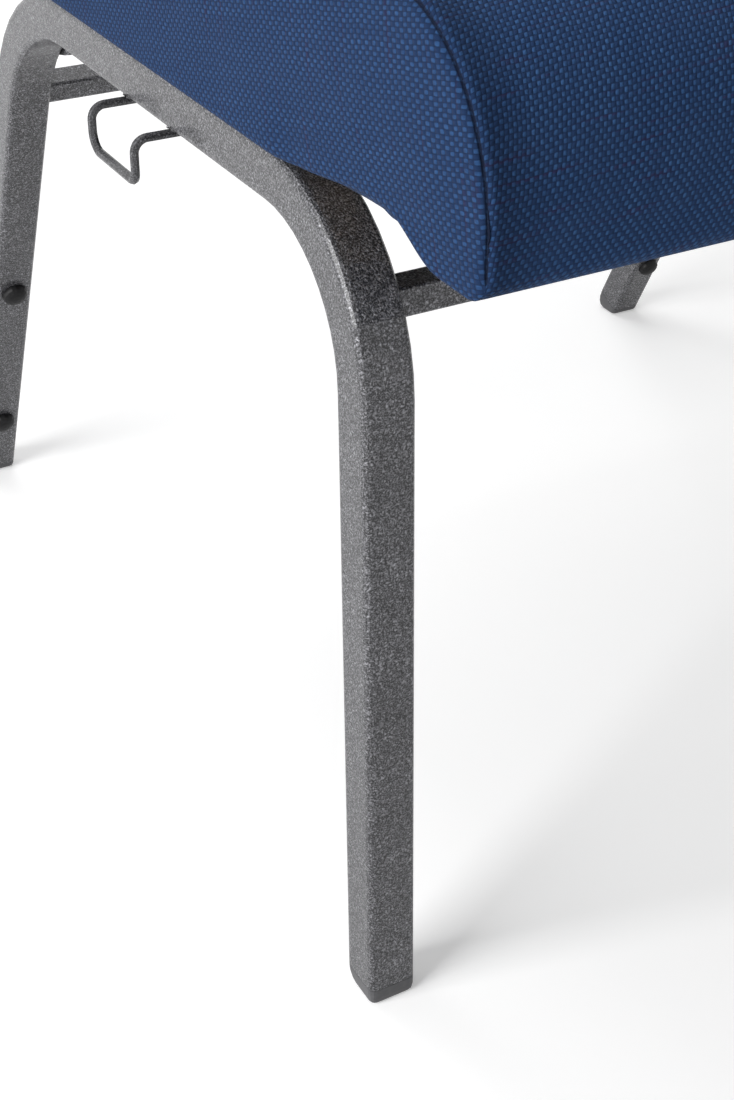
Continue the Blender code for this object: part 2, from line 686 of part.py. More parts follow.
def back_board():
    """Plywood panel in front of the uprights, bored and counterbored for its tee nuts."""
    half, corner = back_cavity_half - SLIP, back_cavity_corner - SLIP
    outline = rounded_rectangle(-half, half, back_cavity_bottom + GAP, BACK_FRAME_RISE,
                                [GAP, corner, corner, GAP], 8)
    holes = [(side * back_tube_x, z) for side, z in back_screw_places]
    board = place("back_board", plate(outline, BACK_BOARD, holes, NUT_BARREL + 2 * GAP), PLYWOOD, parent=back,
                  location=(0, (back_board_front + back_board_rear) / 2, 0), rotation=(math.pi / 2, 0, 0))
    for x, z in holes:
        cut(board, rod(NUT_FLANGE + 2 * GAP, 2 * (NUT_FLANGE_THICKNESS + GAP), 24),
            (x, back_board_front, z), (math.pi / 2, 0, 0))


def back_rear_panel():
    """Upholstered panel that closes the back from behind, slightly full."""
    half, corner = back_cavity_half - GAP, back_cavity_corner - GAP
    inner = TUBE / 2 + GAP

    def ring(y, inset):
        low, high = least_round(inset), corner - inset / 2
        radii = [low, high, high, low]
        outline = rounded_rectangle(-half + inset, half - inset, back_cavity_bottom + GAP + inset,
                                    back_cavity_top - GAP - inset, radii, 6, 2)
        return [(x, y, z) for x, z in outline]

    edge = REAR_PANEL_EDGE
    middle_z = (back_cavity_top + back_cavity_bottom) / 2
    half_height = (back_cavity_top - back_cavity_bottom) / 2
    rings = [ring(inner, 0), ring(back_rear - edge, 0), ring(back_rear - edge * 0.3, edge * 0.3)]
    for share in (0.01, 0.15, 0.35, 0.65):
        rings.append([(x, back_rear + dome(REAR_PANEL_CROWN, x / half, (z - middle_z) / half_height), z)
                      for x, y, z in ring(back_rear, edge + share * half_height)])
    place("back_rear_panel", loft("back_rear_panel", rings), BLUE_CLOTH, parent=back)


def back_fixing(label, side, z):
    """One screw from inside an upright, and the tee nut in the board that it enters."""
    x = side * back_tube_x
    forward = (math.pi / 2, 0, 0)
    head_front = -TUBE / 2 + TUBE_WALL + GAP
    grip = head_front - back_board_front - SCREW_END_INSET
    screw("back_screw_" + label, grip, back, (x, head_front, z), forward)
    tee_nut("back_tee_nut_" + label, back, (x, back_board_front, z), forward)


rear_reach = max(point.y for ring in glide_rings(rear_foot, rear_up) for point in ring)
chair = bpy.data.objects.new("chair_origin", None)
chair.location = (0, -(seat_front + rear_reach) / 2, 0)
parts.objects.link(chair)

back = bpy.data.objects.new("back_origin", None)
back.location = (0, back_y, back_z)
back.rotation_euler = (-BACK_RECLINE, 0, 0)
back.parent = chair
parts.objects.link(back)

sides = {"left": -1, "right": 1}
for word, side in sides.items():
    side_frame(word + "_side_frame", side)
    glide("glide_front_" + word, side, front_foot, front_up)
    glide("glide_rear_" + word, side, rear_foot, rear_up)
    bumper("bumper_low_" + word, side, BUMPER_LOW)
    bumper("bumper_high_" + word, side, BUMPER_LOW + BUMPER_PITCH)

bend_centre = Vector((0, rail_start_y, rail_centre - FRONT_BEND))
outward = Vector((0, -math.cos(FRONT_CROSS_TURN), math.sin(FRONT_CROSS_TURN)))
front_cross = bend_centre + outward * (FRONT_BEND - FRONT_CROSS_IN)
cross_tube("front_cross_tube", front_cross.y, front_cross.z, FRONT_CROSS_ROLL)

leg_top = Vector((0, rear_corner_y, rail_centre)) - rear_up * REAR_BEND * math.tan(rear_turn / 2)
rear_cross = leg_top - rear_up * REAR_CROSS_DROP - rear_front * REAR_CROSS_SETBACK
cross_tube("rear_cross_tube", rear_cross.y, rear_cross.z, REAR_SPLAY)

ganging_hook()
ganging_eye()
back_frame()
seat_board()
seat_cushion()
dust_cover()
for (side, y), label in zip(seat_screw_places, ("front_left", "rear_left", "front_right", "rear_right")):
    seat_fixing(label, side, y)
back_board()
back_cushion()
back_rear_panel()
for (side, z), label in zip(back_screw_places, ("low_left", "high_left", "low_right", "high_right")):
    back_fixing(label, side, z)
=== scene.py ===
# %% [markdown]
# # A church chair, dressed
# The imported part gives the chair's steel, boards and screws in metres. This lesson lights them, gives
# every piece its finish, and sews the three padded pieces that the plain solids only stand for: the
# seat, the back and the panel behind the back. Each step first says what the real piece is and how it
# could be made.

# %% Load the frame
import json
import math

import bmesh
import bpy
import numpy as np
from mathutils import Matrix, Vector


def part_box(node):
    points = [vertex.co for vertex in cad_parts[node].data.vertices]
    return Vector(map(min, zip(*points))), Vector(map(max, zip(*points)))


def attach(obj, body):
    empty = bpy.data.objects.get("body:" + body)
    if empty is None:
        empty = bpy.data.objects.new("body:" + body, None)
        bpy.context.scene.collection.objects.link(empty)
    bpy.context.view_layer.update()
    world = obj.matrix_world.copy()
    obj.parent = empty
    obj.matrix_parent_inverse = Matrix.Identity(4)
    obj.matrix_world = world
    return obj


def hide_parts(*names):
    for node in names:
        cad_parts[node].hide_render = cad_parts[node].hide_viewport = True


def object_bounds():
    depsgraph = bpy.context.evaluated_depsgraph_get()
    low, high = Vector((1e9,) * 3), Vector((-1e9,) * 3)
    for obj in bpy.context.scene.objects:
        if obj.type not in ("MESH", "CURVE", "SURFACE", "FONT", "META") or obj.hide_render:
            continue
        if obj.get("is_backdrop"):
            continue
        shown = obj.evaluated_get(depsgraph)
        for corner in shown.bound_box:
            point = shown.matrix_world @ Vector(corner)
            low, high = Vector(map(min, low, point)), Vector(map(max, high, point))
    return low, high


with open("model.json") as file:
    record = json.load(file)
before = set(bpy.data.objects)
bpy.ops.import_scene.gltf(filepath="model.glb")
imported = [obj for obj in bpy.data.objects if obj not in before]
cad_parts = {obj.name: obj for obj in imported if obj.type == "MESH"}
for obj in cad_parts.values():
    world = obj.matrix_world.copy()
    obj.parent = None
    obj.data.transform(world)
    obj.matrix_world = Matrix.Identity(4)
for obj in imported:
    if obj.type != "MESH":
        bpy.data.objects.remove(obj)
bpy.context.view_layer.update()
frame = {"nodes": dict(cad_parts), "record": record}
nodes = frame["nodes"]
scene = bpy.context.scene

# %% [markdown]
# ## Camera
# The photograph is taken from in front of the chair's left front leg, above the seat and quite close.
# A camera can be placed by eye, but here its place was fitted to the edges of the bent tube, so it is
# written as angles: yaw to the right of straight ahead, pitch down, and a little roll. The lens follows
# from the fitted focal length in pixels. The lens's axis meets the picture above its middle row, which
# a small vertical shift repeats.

# %% Camera
PICTURE_HEIGHT = 1100
FOCAL_PIXELS = 1803.8
AXIS_ROW = 489.8
SENSOR_WIDTH = 36
CAMERA_PLACE = (-0.53648, -0.72490, 0.59776)
YAW, PITCH, ROLL = (math.radians(angle) for angle in (29.08, 30.94, 0.22))


def aimed_camera(name):
    """Build the camera's axes from its three angles and give it the fitted lens."""
    ahead = Vector((math.sin(YAW) * math.cos(PITCH), math.cos(YAW) * math.cos(PITCH), -math.sin(PITCH)))
    right = Vector((math.cos(YAW), -math.sin(YAW), 0))
    up = right.cross(ahead)
    across = right * math.cos(ROLL) + up * math.sin(ROLL)
    data = bpy.data.cameras.new(name)
    data.sensor_width = SENSOR_WIDTH
    data.lens = SENSOR_WIDTH * FOCAL_PIXELS / PICTURE_HEIGHT
    data.shift_y = (AXIS_ROW - PICTURE_HEIGHT / 2) / PICTURE_HEIGHT
    camera = bpy.data.objects.new(name, data)
    place = Matrix((across, across.cross(ahead), -ahead)).transposed().to_4x4()
    place.translation = CAMERA_PLACE
    camera.matrix_world = place
    scene.collection.objects.link(camera)
    return camera


scene.camera = aimed_camera("photograph_camera")
scene.view_settings.view_transform = "Standard"
print("lens", round(scene.camera.data.lens, 2), "mm, shift", round(scene.camera.data.shift_y, 4))

# %% [markdown]
# ## Writing materials as sums
# A finish is a small piece of arithmetic on the surface: noise, ridges, a mask, a mix of two colours.
# Dragging nodes by hand hides that arithmetic. One class here wraps a socket, so that `1 - mask * 0.5`
# adds the Math nodes by itself, and its method `node` adds any other node.

# %% A socket that does sums
class Wire:
    """One output socket in a material. Operators add Math nodes, and node() adds any other node."""

    def __init__(self, tree, socket=None):
        self.tree = tree
        self.socket = socket

    def node(self, kind, settings=None, inputs=None, output=0):
        """Add a node, set its settings, then its sockets' values or links, and give one output."""
        made = self.tree.nodes.new(kind)
        for name, value in (settings or {}).items():
            if name == "stops":
                self.set_stops(made.color_ramp, value)
            else:
                setattr(made, name, value)
        for name, value in (inputs or {}).items():
            self.put(made.inputs[name], value)
        return Wire(self.tree, made.outputs[output])

    def put(self, plug, value):
        """Link a wire to an input socket, or set the socket's own value."""
        if isinstance(value, Wire):
            self.tree.links.new(value.socket, plug)
        else:
            plug.default_value = value

    @staticmethod
    def set_stops(ramp, stops):
        """Fill a colour ramp with grey stops of (place, value)."""
        while len(ramp.elements) < len(stops):
            ramp.elements.new(1)
        for element, (place, value) in zip(ramp.elements, stops):
            element.position = place
            element.color = (value, value, value, 1)

    def math(self, operation, *others):
        """A Math node on this wire and others."""
        return self.node("ShaderNodeMath", {"operation": operation}, dict(enumerate((self, *others))))

    def __add__(self, other):
        return self.math("ADD", other)

    def __mul__(self, other):
        return self.math("MULTIPLY", other)

    def __sub__(self, other):
        return self.math("SUBTRACT", other)

    def __rsub__(self, other):
        return self.node("ShaderNodeMath", {"operation": "SUBTRACT"}, {0: other, 1: self})

    def __pow__(self, other):
        return self.math("POWER", other)

    __radd__ = __add__
    __rmul__ = __mul__

    def axis(self, number):
        """One coordinate of this wire: 0, 1 or 2 for X, Y or Z."""
        return self.node("ShaderNodeSeparateXYZ", None, {0: self}, output=number)

    def stretched(self, *scale):
        """This wire's coordinates, scaled along X, Y and Z."""
        return self.node("ShaderNodeMapping", None, {"Vector": self, "Scale": scale})

    def noise(self, scale, detail=2.0, roughness=0.5):
        """Noise on this wire's coordinates."""
        return self.node("ShaderNodeTexNoise", None,
                         {"Vector": self, "Scale": scale, "Detail": detail, "Roughness": roughness})

    def ramp(self, *stops):
        """Grey value read from a ramp of (place, value) stops."""
        return self.node("ShaderNodeValToRGB", {"stops": stops}, {"Fac": self})

    def fade(self, start, stop, low=0.0, high=1.0, kind="SMOOTHSTEP"):
        """Value that goes from low to high while this wire goes from start to stop."""
        return self.node("ShaderNodeMapRange", {"interpolation_type": kind},
                         {"Value": self, "From Min": start, "From Max": stop,
                          "To Min": low, "To Max": high})

    def blend(self, first, second):
        """Colour between two colours, by this wire."""
        return self.node("ShaderNodeMix", {"data_type": "RGBA"}, {0: self, 6: first, 7: second}, output=2)

    def bump(self, distance, strength=1.0):
        """Normal from this wire as a height, in metres of full rise."""
        return self.node("ShaderNodeBump", None,
                         {"Height": self, "Distance": distance, "Strength": strength})


def feed(start, shader, **values):
    """Set or link a shader's sockets, each named with underscores in place of spaces."""
    for socket, value in values.items():
        start.put(shader.inputs[socket.replace("_", " ")], value)


def new_finish(name, **constants):
    """A material, its start wire and its Principled shader, whose unvarying sockets are set here."""
    material = bpy.data.materials.new(name)
    material.use_nodes = True
    start = Wire(material.node_tree)
    shader = material.node_tree.nodes["Principled BSDF"]
    feed(start, shader, **constants)
    return material, start, shader


def object_place(start):
    """Coordinates of a point on the piece, in metres."""
    return start.node("ShaderNodeTexCoord", output="Object")


print("Wire ready")

# %% [markdown]
# ## Floor and light
# The photograph has a plain white ground and soft light that is stronger from the chair's left: the
# tube's left faces are half as bright again as its front ones. A lamp with a large face gives soft
# light. A white ground could come from more light, but that would bleach the chair. So the floor stays
# a plain white that takes the shadow, and only what the camera or a reflection sees of it is lifted,
# little near the chair and almost to white away from it. The world is white in the same way.

# %% Floor
FLOOR_REACH = 14.0
FLOOR_WHITE = (0.86, 0.86, 0.86, 1)
NEAR_LIFT, FAR_LIFT = 0.30, 0.90
SHADOW_REACH, PLAIN_REACH = 0.7, 2.4
SHOWN_RAYS = ("Is Camera Ray", "Is Glossy Ray", "Is Transmission Ray")


def shown_rays(start):
    """1 on a ray from the camera, a reflection or a clear piece, and 0 on the rays that carry light."""
    rays = start.node("ShaderNodeLightPath").socket.node.outputs
    camera, glossy, through = (Wire(start.tree, rays[kind]) for kind in SHOWN_RAYS)
    return camera + glossy + through


def lifted_white(name, colour):
    """Diffuse white plus a glow that only shown rays see, which grows with distance from the chair."""
    material, start, shader = new_finish(name, Base_Color=colour, Roughness=1.0, Specular_IOR_Level=0.0)
    away = start.node("ShaderNodeVectorMath", {"operation": "LENGTH"},
                      {0: object_place(start)}, output="Value")
    lift = away.fade(SHADOW_REACH, PLAIN_REACH, NEAR_LIFT, FAR_LIFT)
    glow = start.node("ShaderNodeEmission", None, {"Strength": shown_rays(start) * lift})
    both = start.node("ShaderNodeAddShader", None, {0: Wire(start.tree, shader.outputs[0]), 1: glow})
    start.put(start.tree.nodes["Material Output"].inputs["Surface"], both)
    return material


def flat_square(name, reach):
    """A square of four corners at floor height, two reaches wide."""
    corners = np.array([(-1, -1, 0), (1, -1, 0), (1, 1, 0), (-1, 1, 0)]) * reach
    mesh = bpy.data.meshes.new(name)
    mesh.from_pydata(corners.tolist(), [], [(0, 1, 2, 3)])
    square = bpy.data.objects.new(name, mesh)
    scene.collection.objects.link(square)
    return square


floor = flat_square("floor", FLOOR_REACH)
floor.data.materials.append(lifted_white("white_floor", FLOOR_WHITE))
floor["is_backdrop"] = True
print("floor", 2 * FLOOR_REACH, "m wide")

# %% Lamps and world
# Each lamp has a place and a width in metres and a power in watts.
LAMPS = {
    "window_left": ((-2.0, -0.40, 1.0), 1.2, 54.0),
    "fill_front": ((0.5, -1.8, 0.55), 1.1, 1.6),
    "overhead": ((0.1, 1.0, 2.6), 2.2, 30.0),
    "rim_behind": ((-0.9, 2.6, 1.3), 1.4, 6.0),
}
AIM = Vector((0, 0, 0.36))
WORLD_LIGHT = 0.23
for name, (spot, width, power) in LAMPS.items():
    data = bpy.data.lights.new(name, "AREA")
    data.size = width
    data.energy = power
    lamp = bpy.data.objects.new(name, data)
    lamp.location = spot
    lamp.rotation_euler = (AIM - Vector(spot)).to_track_quat("-Z", "Y").to_euler()
    scene.collection.objects.link(lamp)

world = bpy.data.worlds.new("studio")
world.use_nodes = True
scene.world = world
sky = Wire(world.node_tree)
shown = shown_rays(sky).math("MINIMUM", 1.0)
feed(sky, world.node_tree.nodes["Background"],
     Color=(1, 1, 1, 1), Strength=shown * (1 - WORLD_LIGHT) + WORLD_LIGHT)
print(len(LAMPS), "lamps")

# %% [markdown]
# ## Powder coat
# The tube, wire and tabs are coated in a silver vein powder: as it melts, dark resin gathers in fine
# worm-like lines between flecks of metal. Flecks could be scattered as geometry, which would be far
# too heavy. Noise folded about its middle value gives worm lines, about a millimetre apart, which drive
# colour, gloss and relief together. The hook and the eye carry the same coat as the tube, but their copy
# of the finish is painted at half the tube's tone, as painted shade.

# %% Powder coat
VEINS, FLECKS, CLOUDS = 700, 1500, 38
RESIN, SILVER = (0.006, 0.006, 0.0075, 1), (0.298, 0.298, 0.320, 1)
COAT_RELIEF = 0.00030
# The wire's half tone is painted shade: the hook and the eye carry the same coat as the tube.
TUBE_SHADE, WIRE_PAINTED_SHADE = 1.0, 0.5


def powder_coat(name, shade):
    """Silver vein: ridge = 1 - |2 noise - 1|, dark along the ridges and metallic between them."""
    material, start, shader = new_finish(name, IOR=1.5, Coat_Weight=0.4, Coat_Roughness=0.14)
    place = object_place(start)
    ridge = 1 - (place.noise(VEINS, 2.0, 0.55) * 2 - 1).math("ABSOLUTE")
    vein = ridge.ramp((0.50, 0.0), (0.90, 1.0))
    metal = 1 - vein
    fleck = place.noise(FLECKS, 1.0).ramp((0.45, 0.0), (0.70, 1.0))
    cloud = place.noise(CLOUDS, 2.0)
    tone = (metal * 0.75 + fleck * 0.45) * (0.85 + cloud * 0.3) * shade
    feed(start, shader,
         Base_Color=tone.blend(RESIN, SILVER),
         Metallic=0.42 + metal * 0.40,
         Roughness=0.33 + vein * 0.16 + fleck * 0.08,
         Normal=(metal * 0.7 + fleck * 0.5).bump(COAT_RELIEF, 0.85))
    return material


coat = powder_coat("silver_vein_coat", TUBE_SHADE)
wire_coat = powder_coat("silver_vein_wire", WIRE_PAINTED_SHADE)
print("coat with", len(coat.node_tree.nodes), "nodes")

# %% [markdown]
# ## Plastic, rubber, zinc, plywood and felt
# The glides are moulded plastic with a fine matt grain, scuffed near the floor. The bumpers are black
# rubber with a soft shine. Screws and tee nuts are zinc plated, bright with a faint blotch. The boards
# are raw plywood, and the dust cover under the seat is thin black felt. Each could be one flat colour,
# but a real surface is never even, so each blends two colours by a noise of its own grain.

# %% Plastic and rubber
GLIDE_GREYS = (0.052, 0.052, 0.056, 1), (0.15, 0.15, 0.155, 1)
RUBBER_BLACKS = (0.0035, 0.0035, 0.004, 1), (0.016, 0.016, 0.017, 1)
SCUFF_HEIGHT = 0.012


def moulded_plastic(name):
    """Dark grey with a grain of 0.4 mm, and paler rubbed patches that fade out above the floor."""
    material, start, shader = new_finish(name, IOR=1.46)
    place = object_place(start)
    grain = place.noise(2400, 2.0)
    low = place.axis(2).fade(SCUFF_HEIGHT, 0.0, kind="LINEAR")
    rubbed = low * place.noise(420, 3.0).ramp((0.48, 0.0), (0.68, 1.0))
    feed(start, shader,
         Base_Color=(grain * 0.25 + rubbed * 0.5).blend(*GLIDE_GREYS),
         Roughness=0.42 + rubbed * 0.25 + grain * 0.1,
         Normal=grain.bump(0.00006, 0.5))
    return material


def black_rubber(name):
    """Near black, half matt, with dust that shows in blotches."""
    material, start, shader = new_finish(name, IOR=1.3)
    place = object_place(start)
    dust = place.noise(520, 3.0).ramp((0.5, 0.0), (0.8, 1.0))
    feed(start, shader,
         Base_Color=dust.blend(*RUBBER_BLACKS),
         Roughness=0.48 + dust * 0.3,
         Normal=place.noise(1800).bump(0.00004, 0.4))
    return material


glide_plastic = moulded_plastic("glide_plastic")
bumper_rubber = black_rubber("bumper_rubber")
print("plastic with", len(glide_plastic.node_tree.nodes), "nodes")

# %% Zinc, plywood and felt
ZINC_TINTS = (0.50, 0.52, 0.56, 1), (0.66, 0.64, 0.58, 1)
PLY_BROWNS = (0.30, 0.17, 0.075, 1), (0.62, 0.43, 0.24, 1)
FELT_BLACKS = (0.006, 0.006, 0.007, 1), (0.032, 0.032, 0.034, 1)


def zinc_plate(name):
    """Bright metal with faint bluish and yellowish blotches and a fine grain."""
    material, start, shader = new_finish(name, Metallic=1.0)
    place = object_place(start)
    blotch = place.noise(260, 3.0)
    feed(start, shader,
         Base_Color=blotch.blend(*ZINC_TINTS),
         Roughness=0.24 + blotch * 0.22,
         Normal=place.noise(2600).bump(0.00003, 0.4))
    return material


def raw_plywood(name):
    """Grain: noise stretched twelve times along X, less fine dark pores stretched the same way."""
    material, start, shader = new_finish(name)
    along = object_place(start).stretched(1, 12, 12)
    grain = along.noise(26, 5.0, 0.6)
    pores = along.noise(210, 2.0).ramp((0.54, 0.0), (0.66, 1.0))
    feed(start, shader,
         Base_Color=(grain - pores * 0.3).math("MAXIMUM", 0.0).blend(*PLY_BROWNS),
         Roughness=0.62 + pores * 0.2,
         Normal=(grain - pores).bump(0.0002, 0.4))
    return material


def dust_cloth(name):
    """Black felt: the higher of two noises, one stretched along X and one along Y."""
    material, start, shader = new_finish(name, Sheen_Weight=0.25, Sheen_Roughness=0.5)
    place = object_place(start)
    fibres = place.stretched(1, 6, 1).noise(420, 3.0)
    felt = fibres.math("MAXIMUM", place.stretched(6, 1, 1).noise(420, 3.0))
    feed(start, shader,
         Base_Color=felt.blend(*FELT_BLACKS),
         Roughness=0.8 + felt * 0.15,
         Normal=felt.bump(0.0003, 0.6))
    return material


FINISHES = {
    "powder_coat": coat,
    "dark_plastic": glide_plastic,
    "black_rubber": bumper_rubber,
    "zinc": zinc_plate("zinc_plate"),
    "plywood": raw_plywood("raw_plywood"),
    "black_cloth": dust_cloth("dust_cloth"),
}
print(len(FINISHES), "finishes")

# %% [markdown]
# ## Dressing the CAD nodes
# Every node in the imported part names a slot, such as powder coat or zinc. The node's object keeps its
# mesh and place, and only its material slot changes, so that the visible chair stays exactly the
# measured one.

# %% Dress the nodes
WIRE_NODES = ("ganging_hook", "ganging_eye")
dressed = 0
for part in frame["record"]["subparts"]:
    finish = wire_coat if part["node"] in WIRE_NODES else FINISHES.get(part["material_slot"])
    if finish:
        slots = nodes[part["node"]].data.materials
        slots.clear()
        slots.append(finish)
        dressed += 1
print(dressed, "nodes dressed")

# %% [markdown]
# ## Blue cloth
# The cover is a plain weave of thick yarn, about 1.6 millimetres a thread: over and under alternate
# like a chessboard. A picture of cloth could be wrapped on it, but a weave is simple to compute: the
# product of two sine waves is positive where the warp lies on top and negative where the weft does.
# Warp yarns are a light blue, weft yarns navy with a stray plum thread, and slow noise along each yarn
# makes them uneven. Two numbers stored on the mesh finish it. The distance from a seam draws the thin
# dark line where two panels meet. The second number darkens the seat's side panels and the wrap next
# to their seams, as painted shade for how the light falls on them.

# %% Blue cloth
WARP_PITCH, WEFT_PITCH = 0.00160, 0.00165
WANDER = 0.0017
YARN_NOISE, YARN_RUN = 430, 0.06
NAVY, PLUM = (0.0092, 0.0245, 0.0690, 1), (0.0170, 0.0150, 0.0480, 1)
MID_BLUE, LIGHT_BLUE = (0.0150, 0.0450, 0.1230, 1), (0.0280, 0.0800, 0.1950, 1)
# The first colour below is painted shade for the valleys between the yarns.
VALLEY_PAINTED_SHADE, WORN_BLUE = (0.0035, 0.0075, 0.0210, 1), (0.0300, 0.0550, 0.1200, 1)
# The cloth's colour is scaled by the first tint, and by the darker second one where shade is painted.
WRAP_TINT, PAINTED_SHADE_TINT = (1.62, 1.50, 1.46, 1), (0.85, 0.83, 0.85, 1)
SEAM_SHADE, SEAM_EDGE, SEAM_CORE = (0.003, 0.004, 0.010, 1), 0.0009, 0.0002
WEAVE_RELIEF = 0.00034


def stored(start, name):
    """A number kept on the mesh's points."""
    return start.node("ShaderNodeAttribute", {"attribute_name": name}, output="Fac")


def woven_cloth(name):
    """Plain weave on the piece's own UV in metres: s = sin(pi u / warp pitch) sin(pi v / weft pitch)."""
    material, start, shader = new_finish(name, Sheen_Weight=0.04, Sheen_Roughness=0.4, IOR=1.4,
                                         Specular_IOR_Level=0.12)
    sheet = start.node("ShaderNodeUVMap", {"uv_map": "cloth"})
    wander = sheet.noise(95, 2.0) * WANDER
    u, v = (sheet.axis(number) + wander for number in (0, 1))
    wave = (u * (math.pi / WARP_PITCH)).math("SINE") * (v * (math.pi / WEFT_PITCH)).math("SINE")
    lump = wave.math("ABSOLUTE") ** 0.6
    warp_up = (wave * 0.5 + 0.5).ramp((0.50, 0.0), (0.72, 1.0))
    slub = sheet.noise(700, 1.0)
    yarn = sheet.stretched(1, YARN_RUN, 1).noise(YARN_NOISE, 2.0).ramp((0.30, 0.0), (0.70, 1.0))
    stray = sheet.stretched(YARN_RUN, 1, 1).noise(YARN_NOISE, 2.0).ramp((0.60, 0.0), (0.70, 1.0))
    weft = (stray * 0.7).blend(NAVY, PLUM)
    warp = (yarn * 0.7 + slub * 0.3).blend(MID_BLUE, LIGHT_BLUE)
    faced = (warp_up * (0.20 + slub * 1.15)).blend(weft, warp)
    # Painted shade: the valleys between the yarns are darkened.
    valley = 1 - (lump * (0.7 + slub * 0.5)).ramp((0.0, 0.0), (0.62, 1.0))
    yarned = (valley * 0.42).blend(faced, VALLEY_PAINTED_SHADE)
    worn = sheet.noise(55, 2.0).ramp((0.35, 0.0), (0.70, 1.0))
    toned = (worn * 0.07).blend(yarned, WORN_BLUE)
    # Painted shade: where the stored share is 1, on the seat's side panels and along the wrap's seams, the
    # darker tint replaces the wrap's.
    tint = stored(start, "cross_cut").blend(WRAP_TINT, PAINTED_SHADE_TINT)
    tinted = start.node("ShaderNodeMix", {"data_type": "RGBA", "blend_type": "MULTIPLY"},
                        {0: 1.0, 6: toned, 7: tint}, output=2)
    near = stored(start, "seam").fade(SEAM_EDGE, SEAM_CORE)
    relief = lump * (0.75 + slub * 0.5) - near * 2.2
    feed(start, shader,
         Base_Color=(near * 0.75).blend(tinted, SEAM_SHADE),
         Roughness=0.82 + slub * 0.14,
         Normal=relief.bump(WEAVE_RELIEF, 0.7))
    return material


blue_cloth = woven_cloth("blue_weave")
print("cloth with", len(blue_cloth.node_tree.nodes), "nodes")

# %% [markdown]
# ## Tools for padded pieces
# A padded piece starts as a grid: rings or columns of points, joined by quads. The helpers here join
# the points and put the result into Blender with its cloth coordinates. Then the cloth solver swells
# it. The solver could run on a remeshed copy, but a remesh would lose the grid that carries the weave,
# so it runs on the grid itself, with the seams and hidden faces held. How far each point moves is
# capped, and the move is smoothed over its neighbours.

# %% Mesh tools
def grid_corners(sheet):
    """The four corners of every cell of a two-way array, in order round the cell."""
    return np.stack([sheet[:-1, :-1], sheet[1:, :-1], sheet[1:, 1:], sheet[:-1, 1:]], 2)


def grid_quads(index):
    """Quads between neighbouring entries of a two-way array of point numbers."""
    return grid_corners(index).reshape(-1, 4)


def fan(pole, ring):
    """Triangles from one point number to each pair of neighbours along a ring."""
    return np.stack([np.full(len(ring) - 1, pole), ring[:-1], ring[1:]], -1)


def mesh_from(name, points, faces):
    """A mesh from an array of points and groups of faces."""
    mesh = bpy.data.meshes.new(name)
    mesh.from_pydata(points.tolist(), [], [face for group in faces for face in group.tolist()])
    return mesh


def outward_object(name, mesh):
    """An object at the origin whose faces are turned outwards and shaded smooth."""
    work = bmesh.new()
    work.from_mesh(mesh)
    bmesh.ops.recalc_face_normals(work, faces=work.faces)
    work.to_mesh(mesh)
    work.free()
    mesh.shade_smooth()
    piece = bpy.data.objects.new(name, mesh)
    scene.collection.objects.link(piece)
    return piece


def cloth_piece(name, points, faces, corner_uv, seam, cross_cut=0.0):
    """An outward object with a cloth UV in metres, seam distances and shares of painted shade."""
    mesh = mesh_from(name, points, faces)
    layer = mesh.uv_layers.new(name="cloth")
    layer.data.foreach_set("uv", np.concatenate([uv.reshape(-1) for uv in corner_uv]).astype(np.float32))
    for key, values in (("seam", seam), ("cross_cut", cross_cut)):
        kept = mesh.attributes.new(key, "FLOAT", "POINT")
        kept.data.foreach_set("value", np.broadcast_to(values, len(points)).astype(np.float32))
    return outward_object(name, mesh)


def read_points(mesh, field="co"):
    """A mesh's point places, or normals, as an array."""
    values = np.empty(len(mesh.vertices) * 3, np.float32)
    source = mesh.vertices if field == "co" else mesh.vertex_normals
    source.foreach_get("co" if field == "co" else "vector", values)
    return values.reshape(-1, 3).astype(float)


def write_points(mesh, points):
    """Put an array of places back into a mesh."""
    mesh.vertices.foreach_set("co", points.astype(np.float32).reshape(-1))
    mesh.update()


print("mesh tools ready")

# %% Cloth solver
HOLDS = (1.0, 0.7, 0.35)
CLOTH_SETTINGS = {
    "quality": 4,
    "mass": 0.3,
    "tension_stiffness": 18,
    "compression_stiffness": 18,
    "shear_stiffness": 8,
    "bending_stiffness": 1.5,
    "use_pressure": True,
}
SWELL_FRAMES = 18
SMOOTH_ROUNDS = 3


def grip(hidden, distance, widths):
    """How firmly each point is held: fully where hidden, and less at each wider distance from a seam."""
    near = [distance < width for width in widths]
    near[0] = near[0] | hidden
    return np.select(near, HOLDS[:len(near)], 0.0)


def smoothed(move, mesh, free):
    """Average each free point's move with its neighbours' along the edges, a few times over."""
    ends = np.empty(len(mesh.edges) * 2, np.int32)
    mesh.edges.foreach_get("vertices", ends)
    first, second = ends.reshape(-1, 2).T
    for _ in range(SMOOTH_ROUNDS):
        total = move.copy()
        count = np.ones((len(move), 1))
        for here, there in ((first, second), (second, first)):
            np.add.at(total, here, move[there])
            np.add.at(count, here, 1)
        move = total / count * free[:, None]
    return move


